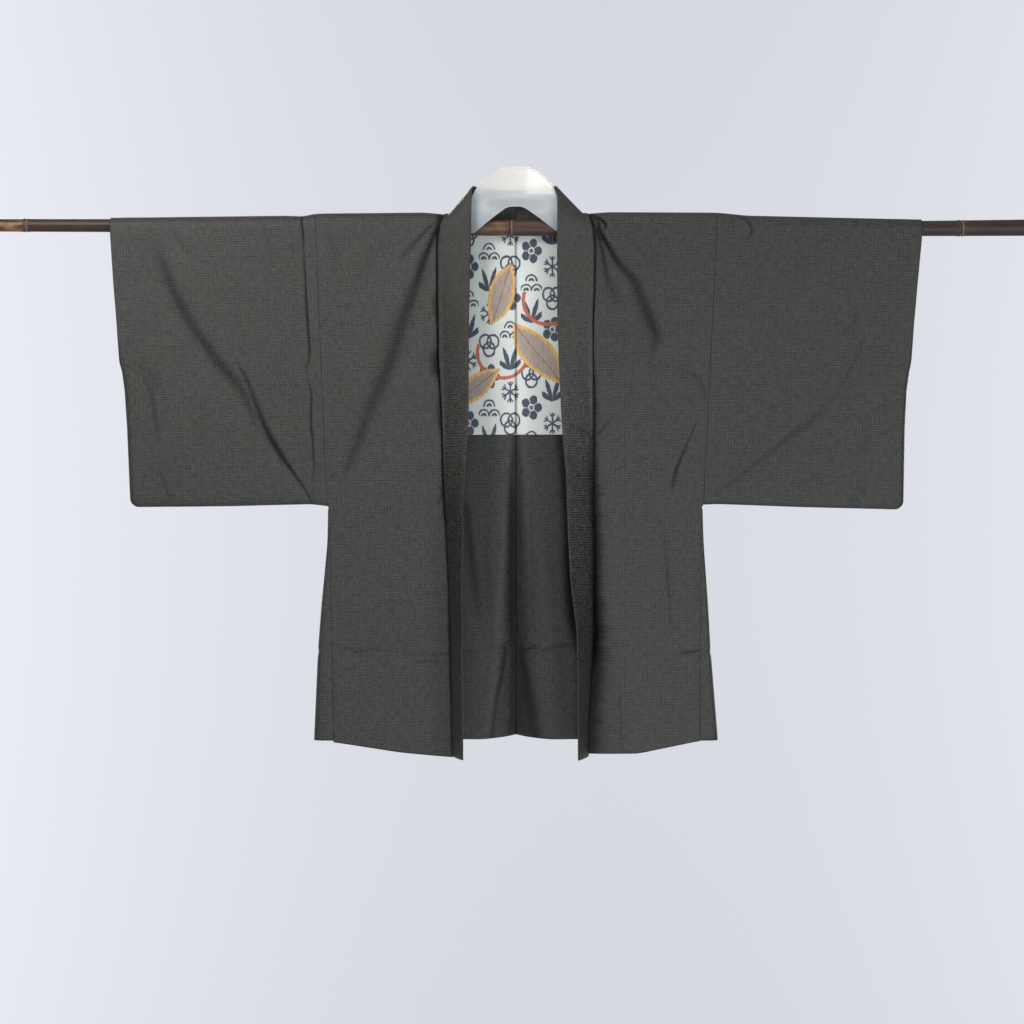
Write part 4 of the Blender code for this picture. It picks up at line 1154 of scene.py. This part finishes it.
def ring(tree, p, q, centre, radius, half_line):
    """How deep a point lies in a drawn ring's line."""
    p, q = turned(tree, p, q, centre, 0)
    away = calc(tree, "ABSOLUTE", calc(tree, "SUBTRACT", radius_of(tree, p, q), radius))
    return calc(tree, "SUBTRACT", half_line, away)


def largest(tree, values):
    """The union of masks, as the largest of their values."""
    result = values[0]
    for value in values[1:]:
        result = calc(tree, "MAXIMUM", result, value)
    return result


MOTIF_WIDTH, MOTIF_HEIGHT = 35.0, 52.0
MOTIF_SCALE = (1.35, 1.6)
MOTIF_SHIFT = (1007.0, 2012.0)      # keeps every column and row number above 0


def make_ink_print():
    """Staggered small motifs, as a mask, from flat cloth coordinates in millimetres."""
    tree, given, result = new_group("ink_motifs", [("Across", "Float"), ("Down", "Float")],
                                    [("Ink", "Float")])
    across, down = given.outputs["Across"], given.outputs["Down"]
    column = calc(tree, "FLOOR", calc(tree, "DIVIDE", across, MOTIF_WIDTH))
    odd = calc(tree, "FLOORED_MODULO", column, 2.0)
    dropped = calc(tree, "MULTIPLY_ADD", odd, MOTIF_HEIGHT / 2, down)
    row = calc(tree, "FLOOR", calc(tree, "DIVIDE", dropped, MOTIF_HEIGHT))
    p = calc(tree, "SUBTRACT", calc(tree, "FLOORED_MODULO", across, MOTIF_WIDTH), MOTIF_WIDTH / 2)
    q = calc(tree, "FLOORED_MODULO", dropped, MOTIF_HEIGHT)
    q = calc(tree, "SUBTRACT", q, MOTIF_HEIGHT / 2)
    p, q = calc(tree, "DIVIDE", p, MOTIF_SCALE[0]), calc(tree, "DIVIDE", q, MOTIF_SCALE[1])
    kind = calc(tree, "FLOORED_MODULO", calc(tree, "MULTIPLY_ADD", row, 2.0, column), 5.0)
    angle = calc(tree, "ARCTAN2", q, p)
    radius = radius_of(tree, p, q)
    petal = calc(tree, "ABSOLUTE", calc(tree, "COSINE", calc(tree, "MULTIPLY", angle, 2.5)))
    outline = calc(tree, "SUBTRACT", calc(tree, "MULTIPLY_ADD", petal, 4.6, 8.6), radius)
    eye = ring(tree, p, q, (0, 0), 3.2, 0.7)
    parting = calc(tree, "SUBTRACT", 0.10, petal)
    bare = calc(tree, "MULTIPLY", largest(tree, [eye, parting]), -1.0)
    blossom = calc(tree, "MINIMUM", outline, bare)
    leaves = []
    for degrees, length in ((-52, 11), (-18, 14), (20, 13), (56, 10)):
        turned_p, turned_q = turned(tree, p, q, (0, -10), degrees)
        shifted = calc(tree, "SUBTRACT", turned_q, float(length))
        leaves.append(lens(tree, turned_p, shifted, length, 2.7))
    rings = largest(tree, [ring(tree, p, q, centre, 7.0, 1.15)
                           for centre in ((-4.6, 3.4), (4.6, 3.4), (0, -4.6))])
    fans = []
    for centre in ((-6.5, -9.0), (6.5, -9.0), (0, 1.0)):
        fan_p, fan_q = turned(tree, p, q, centre, 0)
        away = radius_of(tree, fan_p, fan_q)
        lines = calc(tree, "SUBTRACT", calc(tree, "PINGPONG", away, 2.3), 1.05)
        inside = calc(tree, "MINIMUM", calc(tree, "SUBTRACT", 7.6, away), fan_q)
        fans.append(calc(tree, "MINIMUM", lines, inside))
    bars = []
    for degrees in (0, 60, 120):
        aside, out = [calc(tree, "ABSOLUTE", part) for part in turned(tree, p, q, (0, 0), degrees)]
        stem = calc(tree, "MINIMUM", calc(tree, "SUBTRACT", 1.0, aside),
                    calc(tree, "SUBTRACT", 11.0, out))
        slant = calc(tree, "ADD", calc(tree, "SUBTRACT", aside, out), 6.5)
        barb = calc(tree, "SUBTRACT", 1.2, calc(tree, "ABSOLUTE", slant))
        barb = calc(tree, "MINIMUM", barb, calc(tree, "SUBTRACT", 3.6, aside))
        bars.append(calc(tree, "MAXIMUM", stem, barb))
    total = 0.0
    shapes = [blossom, largest(tree, leaves), rings, largest(tree, fans), largest(tree, bars)]
    for number, shape in enumerate(shapes):
        chosen = calc(tree, "COMPARE", kind, float(number), 0.4)
        total = calc(tree, "MULTIPLY_ADD", soft_mask(tree, shape, 0.3), chosen, total)
    feed(tree, result, {"Ink": total})
    return tree


LEAVES = [  # centre x, centre z, turn, half length, half width
    (-24, -108, -24, 54, 22),
    (36, -206, 32, 64, 27),
    (-66, -262, -58, 50, 19),
    (150, -120, 40, 56, 22),
    (-150, -90, -35, 54, 21),
    (215, -235, 75, 52, 20),
    (-230, -215, 20, 52, 20),
]
STEMS = [  # centre x, centre z, radius
    (-22, -205, 42),
    (52, -118, 40),
    (180, -180, 50),
    (-190, -150, 52),
]


def lining_material():
    made, tree, shader = new_material("lining_silk")
    cloth = add_node(tree, "UVMap", uv_map="cloth").outputs[0]
    across, down, _ = wandering(tree, cloth, 160.0, 0.0026)
    across, down = [calc(tree, "MULTIPLY", place, 1 / MM) for place in (across, down)]
    shifted = {"Across": calc(tree, "ADD", across, MOTIF_SHIFT[0]),
               "Down": calc(tree, "ADD", down, MOTIF_SHIFT[1])}
    ink = add_node(tree, "Group", shifted, node_tree=make_ink_print()).outputs["Ink"]
    threads = noise(tree, cloth, 900.0, 2.0, (1, 0.06, 1))
    fold = noise(tree, cloth, 9.0, 2.0, (1, 0.3, 1))
    ground = mix(tree, fold, (0.38, 0.41, 0.395), (0.47, 0.505, 0.49))
    ink = calc(tree, "MULTIPLY", ink, calc(tree, "MULTIPLY_ADD", threads, 0.25, 0.84))
    colour = mix(tree, ink, ground, (0.022, 0.030, 0.052))
    stem_parts = []
    for x, z, radius in STEMS:
        arc = ring(tree, across, down, (x, z), radius, 2.9)
        lower = calc(tree, "SUBTRACT", z + radius * 0.35, down)
        stem_parts.append(calc(tree, "MINIMUM", arc, lower))
    russet = mix(tree, noise(tree, cloth, 420.0, 1.0), (0.22, 0.045, 0.03), (0.42, 0.12, 0.08))
    colour = mix(tree, soft_mask(tree, largest(tree, stem_parts), 0.3), colour, russet)
    streaks = noise(tree, cloth, 260.0, 3.0, (1, 0.25, 1))
    ochre = mix(tree, streaks, (0.26, 0.13, 0.035), (0.66, 0.42, 0.12))
    taupe = mix(tree, streaks, (0.16, 0.12, 0.10), (0.33, 0.27, 0.245))
    for x, z, turn, length, half_width in LEAVES:
        p, q = turned(tree, across, down, (x, z), turn)
        bend = calc(tree, "MULTIPLY_ADD", calc(tree, "SINE", calc(tree, "DIVIDE", q, length * 0.6)),
                    half_width * 0.22, p)
        deep = lens(tree, bend, q, length, half_width)
        inside = soft_mask(tree, deep, 0.35)
        rim = calc(tree, "MULTIPLY_ADD", streaks, 5.0, half_width * 0.13)
        middle = soft_mask(tree, calc(tree, "SUBTRACT", deep, rim), 1.6)
        rib = soft_mask(tree, calc(tree, "SUBTRACT", 0.5, calc(tree, "ABSOLUTE", bend)), 0.3)
        leaf = mix(tree, rib, mix(tree, middle, ochre, taupe), (0.10, 0.05, 0.015))
        colour = mix(tree, inside, colour, leaf)
    seam = add_node(tree, "Attribute", attribute_name="crease").outputs["Fac"]
    dim = calc(tree, "MULTIPLY_ADD", seam, -0.45, 1.0)
    tone = calc(tree, "MULTIPLY", dim, calc(tree, "MULTIPLY_ADD", threads, 0.14, 0.93))
    feed(tree, shader, {
        "Base Color": scaled(tree, colour, tone),
        "Normal": relief(tree, threads, 0.3, 0.0001),
        "Roughness": 0.45,
        "Specular IOR Level": 0.45,
    })
    return made


lining_silk = lining_material()
for side in SIDES:
    lining = cloth_piece("silk_lining_" + side, [lining_cloth(side)], LINING_WALL, lining_silk)
    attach(lining, "root")
    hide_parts("lining_" + side)

# ---------------------------------------------------------------------------------------------
# Rod.  A thin culm of smoked bamboo, rubbed to a soft shine, with a raised ring and a dark
# groove at each node and mottled golden bark beside it.  Its ends are sawn and hollow.
# ---------------------------------------------------------------------------------------------
ROD_END = 900.0
ROD = [  # x, radius, axis height
    (-900, 10.5, 4.8),
    (-669, 10.8, 4.2),
    (-330, 11.6, 1.6),
    (0, 13.0, 0.0),
    (330, 12.6, -0.6),
    (669, 12.5, -0.8),
    (900, 13.8, 1.0),
]
ROD_NODES = [-809, -412, -9, 362, 735]
ROD_PROFILE = [  # distance from a node, rise
    (-9, 0.0),
    (-4.2, 0.55),
    (-2.6, 1.0),
    (-1.2, 0.15),
    (0, -0.45),
    (1.0, 0.2),
    (2.4, 0.85),
    (4.2, 0.3),
    (8, 0.0),
]
ROD_RINGS = (-14, -6.5, -3.4, -1.9, -0.6, 0.5, 1.7, 3.3, 6, 12)   # more rings beside a node
ROD_HOLLOW, ROD_RECESS = 0.62, 24.0         # the hollow's share of the radius, and its depth
ROD_TURNS, ROD_PITCH = 56, 12.0             # steps round a ring, and from ring to ring
ROD_FLUTE = (1.2, 0.25, 0.02)               # angle, half width and depth of a shallow flute
ROD_SHARP = 50


def rod_piece(finish):
    """Rings of the culm bridged one after another, with a sawn rim and a recess at each end."""
    offsets = [offset for offset, _ in ROD_PROFILE] + list(ROD_RINGS)
    places = {node + offset for node in ROD_NODES for offset in offsets}
    places = sorted(places | set(np.arange(-ROD_END, ROD_END + 1, ROD_PITCH)))
    shape = [(ROD_RECESS - ROD_END, ROD_HOLLOW), (-ROD_END, ROD_HOLLOW)]
    shape += [(x, 1.0) for x in places]
    shape += [(ROD_END, ROD_HOLLOW), (ROD_END - ROD_RECESS, ROD_HOLLOW)]
    bm = bmesh.new()
    past = bm.verts.layers.float.new("past_node")
    rings = []
    middle, half_width, depth = ROD_FLUTE
    for x, share in shape:
        offset = min((x - node for node in ROD_NODES), key=abs)
        rise = float(np.interp(offset, *zip(*ROD_PROFILE))) if share == 1 else 0.0
        radius = (float(level(ROD, x, 1, 30)) + rise) * share
        height = float(level(ROD, x, 2, 30))
        made = bmesh.ops.create_circle(bm, segments=ROD_TURNS, radius=radius * MM)["verts"]
        for vert in made:
            around = math.atan2(vert.co.y, vert.co.x)
            flute = 1 - depth * math.exp(-((around - middle) / half_width) ** 2)
            vert.co = Vector((x * MM, vert.co.x * flute, vert.co.y * flute + height * MM))
            vert[past] = offset
        rings.append(made)
    for ring_verts, following in zip(rings, rings[1:]):
        edges = [edge for verts in (ring_verts, following)
                 for edge in {e for v in verts for e in v.link_edges if e.other_vert(v) in verts}]
        bmesh.ops.bridge_loops(bm, edges=list(set(edges)))
    for end in (rings[0], rings[-1]):
        bmesh.ops.contextual_create(bm, geom=end)
    bmesh.ops.recalc_face_normals(bm, faces=bm.faces)
    made = new_piece("bamboo_rod", bm, finish)
    made.data.set_sharp_from_angle(angle=math.radians(ROD_SHARP))
    return made


ROD_BANDS = [  # distance past a node, half width, colour, strength
    (-2.4, 1.6, (0.035, 0.026, 0.022), 0.85),
    (1.8, 1.2, (0.15, 0.09, 0.055), 0.8),
    (5.4, 2.4, (0.04, 0.03, 0.026), 0.5),
]


def bamboo_material():
    made, tree, shader = new_material("smoked_bamboo")
    where = add_node(tree, "TexCoord").outputs["Object"]
    past = add_node(tree, "Attribute", attribute_name="past_node").outputs["Fac"]
    along = separate(tree, where)[0]
    fibre = noise(tree, where, 300.0, 3.0, (0.03, 1, 1))
    mottle = noise(tree, where, 70.0, 4.0, (0.35, 1, 1))
    smoke = ramp(tree, along, -0.75, 0.75)
    dark = mix(tree, smoke, (0.0150, 0.0093, 0.0074), (0.0165, 0.0130, 0.0118))
    brown = mix(tree, smoke, (0.036, 0.0195, 0.0125), (0.033, 0.0205, 0.0158))
    bark = calc(tree, "MULTIPLY_ADD", fibre, 0.6, calc(tree, "MULTIPLY", mottle, 0.6))
    colour = mix(tree, ramp(tree, bark, 0.45, 0.8), dark, brown)
    # Painted light: the middle of the rod, inside the neck, is made up to 1.65 times lighter.
    painted_light = ramp(tree, calc(tree, "ABSOLUTE", along), 0.15, 0.06, 1.0, 1.65)
    colour = scaled(tree, colour, painted_light)
    before = calc(tree, "MULTIPLY", past, -1.0)
    near = calc(tree, "MULTIPLY", ramp(tree, before, 90.0, 6.0),
                calc(tree, "GREATER_THAN", before, 0.0))
    gold = calc(tree, "MULTIPLY", near, ramp(tree, mottle, 0.40, 0.62))
    gold = calc(tree, "MULTIPLY", gold, calc(tree, "MULTIPLY_ADD", smoke, -0.9, 0.9))
    colour = mix(tree, gold, colour, (0.23, 0.125, 0.058))
    for middle, half, tint, amount in ROD_BANDS:
        away = calc(tree, "ABSOLUTE", calc(tree, "SUBTRACT", past, middle))
        colour = mix(tree, ramp(tree, away, half * 1.4, half * 0.6, 0.0, amount), colour, tint)
    feed(tree, shader, {
        "Base Color": colour,
        "Roughness": calc(tree, "MULTIPLY_ADD", mottle, 0.2, 0.36),
        "Normal": relief(tree, fibre, 0.35, 0.0003),
        "Specular IOR Level": 0.23,
    })
    return made


rod = rod_piece(bamboo_material())
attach(rod, "root")
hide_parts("rod")

# ---------------------------------------------------------------------------------------------
# Collar keeper.  A leaf of milky translucent plastic, moulded with a slightly rolled rim, is
# tucked into the neck with its legs in front of the rod to hold the collar open.
# ---------------------------------------------------------------------------------------------
KEEPER_WALL = 1.2
KEEPER_LEFT, KEEPER_RIGHT = -77, 72
KEEPER_HALF = 77.0
KEEPER_TOP = [  # x from left to right, z
    (-77, 38.0),
    (-70, 60.0),
    (-62, 69.5),
    (-41, 90.0),
    (-22, 104.5),
    (22, 104.5),
    (37, 95.5),
    (61, 72.5),
    (65, 61.0),
    (72, 38.0),
]
KEEPER_BOTTOM = [  # x, z
    (-77, -10.4),
    (-69, -10.4),
    (-17, 32.5),
    (-10, 35.5),
    (9, 35.5),
    (15, 32.5),
    (67, -7.5),
    (72, -7.5),
]
KEEPER_FRONT = 14.4     # how far its legs stand in front of the rod's axis
KEEPER_BEND = (13.5, 62.0)      # it bends back between these heights
KEEPER_LEAN = 10.0      # how far back all of it then stands
KEEPER_BOW = 23.0       # how much further its middle does
KEEPER_RIM = 0.55       # how far the rolled rim stands out
KEEPER_COLUMNS, KEEPER_ROWS = 120, 60


def keeper_leaf():
    def place(u, v):
        x = KEEPER_LEFT + u * (KEEPER_RIGHT - KEEPER_LEFT)
        low, high = level(KEEPER_BOTTOM, x, 1, 2.5), level(KEEPER_TOP, x, 1, 3.0)
        z = high + (low - high) * crowd_edges(v, 0.7)
        bow = np.cos(math.pi / 2 * np.minimum(1, np.abs(x) / KEEPER_HALF)) ** 1.5
        y = -KEEPER_FRONT + ease(z, *KEEPER_BEND) * (KEEPER_LEAN + KEEPER_BOW * bow)
        rim = np.minimum(np.minimum(high - z, z - low), 8)
        y = y - KEEPER_RIM * np.exp(-((rim - 2.2) / 1.1) ** 2)
        return np.stack([x, y, z], 1), np.stack([x, z], 1), np.zeros(len(u))

    return cloth_points(KEEPER_COLUMNS, KEEPER_ROWS, place)


def plastic_material():
    made, tree, shader = new_material("milky_plastic")
    where = add_node(tree, "TexCoord").outputs["Object"]
    height = separate(tree, where)[2]
    # Painted light: the upper part, above the collar, is paler and more solid, as if lit through
    # from behind.  Painted shade: the legs are a darker blue grey.
    painted_backlight = ramp(tree, height, 0.045, 0.075)
    painted_leg_shade = ramp(tree, height, 0.03, -0.01)
    cloud = noise(tree, where, 30.0)
    blue = mix(tree, painted_leg_shade, (0.40, 0.445, 0.475), (0.26, 0.29, 0.32))
    solid = calc(tree, "MULTIPLY_ADD", cloud, 0.12, 0.52)
    feed(tree, shader, {
        "Base Color": mix(tree, painted_backlight, blue, (0.55, 0.54, 0.525)),
        "Alpha": calc(tree, "MULTIPLY_ADD", painted_backlight, 0.12, solid),
        "Roughness": calc(tree, "MULTIPLY_ADD", cloud, 0.1, 0.42),
        "Specular IOR Level": 0.4,
        "Coat Weight": 0.3,
        "Coat Roughness": 0.15,
    })
    return made


keeper = cloth_piece("collar_keeper_leaf", [keeper_leaf()], KEEPER_WALL, plastic_material())
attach(keeper, "root")
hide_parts("collar_keeper")

# ---------------------------------------------------------------------------------------------
# Studio.  A pale round floor lies well below, under its own low light.  A pale blue-grey
# surround is seen all round, and lights mostly from behind, as hung paper would.  Four soft
# lights stand in front and above, the key to the left, and two narrow ones behind.
# ---------------------------------------------------------------------------------------------
FLOOR_Z, FLOOR_RADIUS = -2.4, 4.2


def studio_floor():
    bm = bmesh.new()
    bmesh.ops.create_circle(bm, cap_ends=True, segments=96, radius=FLOOR_RADIUS)
    bmesh.ops.translate(bm, verts=bm.verts, vec=(0, 0, FLOOR_Z))
    paper, tree, shader = new_material("floor_paper")
    feed(tree, shader, {
        "Base Color": (0.60, 0.617, 0.655, 1),
        "Roughness": 0.95,
        "Specular IOR Level": 0.1,
    })
    return new_piece("studio_floor", bm, paper)


studio_floor()


def studio_surround():
    made = bpy.data.worlds.new("studio")
    made.use_nodes = True
    tree = made.node_tree
    x, y, z = separate(tree, add_node(tree, "TexCoord").outputs["Generated"])
    glow = calc(tree, "MULTIPLY_ADD", calc(tree, "MULTIPLY", x, x), 1.75, 0.694)
    glow = calc(tree, "MULTIPLY_ADD", x, -0.15, glow)
    glow = calc(tree, "MULTIPLY_ADD", calc(tree, "MULTIPLY", z, z), -0.4, glow)
    glow = calc(tree, "MAXIMUM", calc(tree, "MINIMUM", glow, 0.82), 0.62)
    behind = ramp(tree, y, 0.0, 0.45, 0.04, 1.0)
    seen = add_node(tree, "LightPath").outputs["Is Camera Ray"]
    glow = calc(tree, "MULTIPLY", glow, calc(tree, "MAXIMUM", seen, behind))
    feed(tree, tree.nodes["Background"], {"Color": scaled(tree, (1.0, 1.028, 1.1), glow)})
    bpy.context.scene.world = made


studio_surround()


def soft_light(name, place, target, size, power, tint, spread=180):
    lamp = bpy.data.lights.new(name, "AREA")
    lamp.shape = "RECTANGLE"
    lamp.size, lamp.size_y = size
    lamp.energy = power
    lamp.color = tint
    lamp.spread = math.radians(spread)
    made = new_object(name, lamp)
    made.location = place
    made.rotation_euler = (Vector(target) - Vector(place)).to_track_quat("-Z", "Y").to_euler()
    made.visible_camera = False


soft_light("key", (-1.2, -1.4, 0.7), (-0.35, 0, -0.1), (0.8, 0.8), 40, (1, 0.97, 0.93))
soft_light("side_fill", (2.2, -2.6, -0.4), (0, 0, -0.4), (0.8, 1.4), 52, (1, 0.98, 0.95))
soft_light("floor_fill", (0.3, -2.6, -1.6), (0, 0, -0.5), (2.2, 0.8), 43, (0.90, 0.95, 1))
soft_light("overhead", (0, -0.9, 1.9), (0, 0, -0.1), (2.4, 0.5), 24, (1, 0.98, 0.95))
soft_light("back_left", (-1.7, 2.6, 1.0), (-0.2, 0, -0.35), (1.2, 1.2), 15, (1, 0.98, 0.95), 60)
soft_light("back_right", (1.9, 2.6, 0.3), (0.2, 0, -0.35), (1.0, 1.0), 8, (1, 0.98, 0.95), 60)
soft_light("floor_wash", (0, 0, -1.9), (0, 0, FLOOR_Z), (11.0, 11.0), 170, (1, 1, 1))
bpy.context.scene.view_settings.view_transform = "Standard"

CAMERA_X, CAMERA_Z = -0.0066, -0.4692
GARMENT_PLANE, CAMERA_DISTANCE, VIEW_WIDTH = -0.0165, 3.5, 1.684
SENSOR_WIDTH = 36.0
lens_data = bpy.data.cameras.new("camera")
lens_data.sensor_width = SENSOR_WIDTH
lens_data.lens = SENSOR_WIDTH * CAMERA_DISTANCE / VIEW_WIDTH
camera = new_object("camera", lens_data)
camera.location = (CAMERA_X, GARMENT_PLANE - CAMERA_DISTANCE, CAMERA_Z)
camera.rotation_euler = (math.pi / 2, 0, 0)
bpy.context.scene.camera = camera
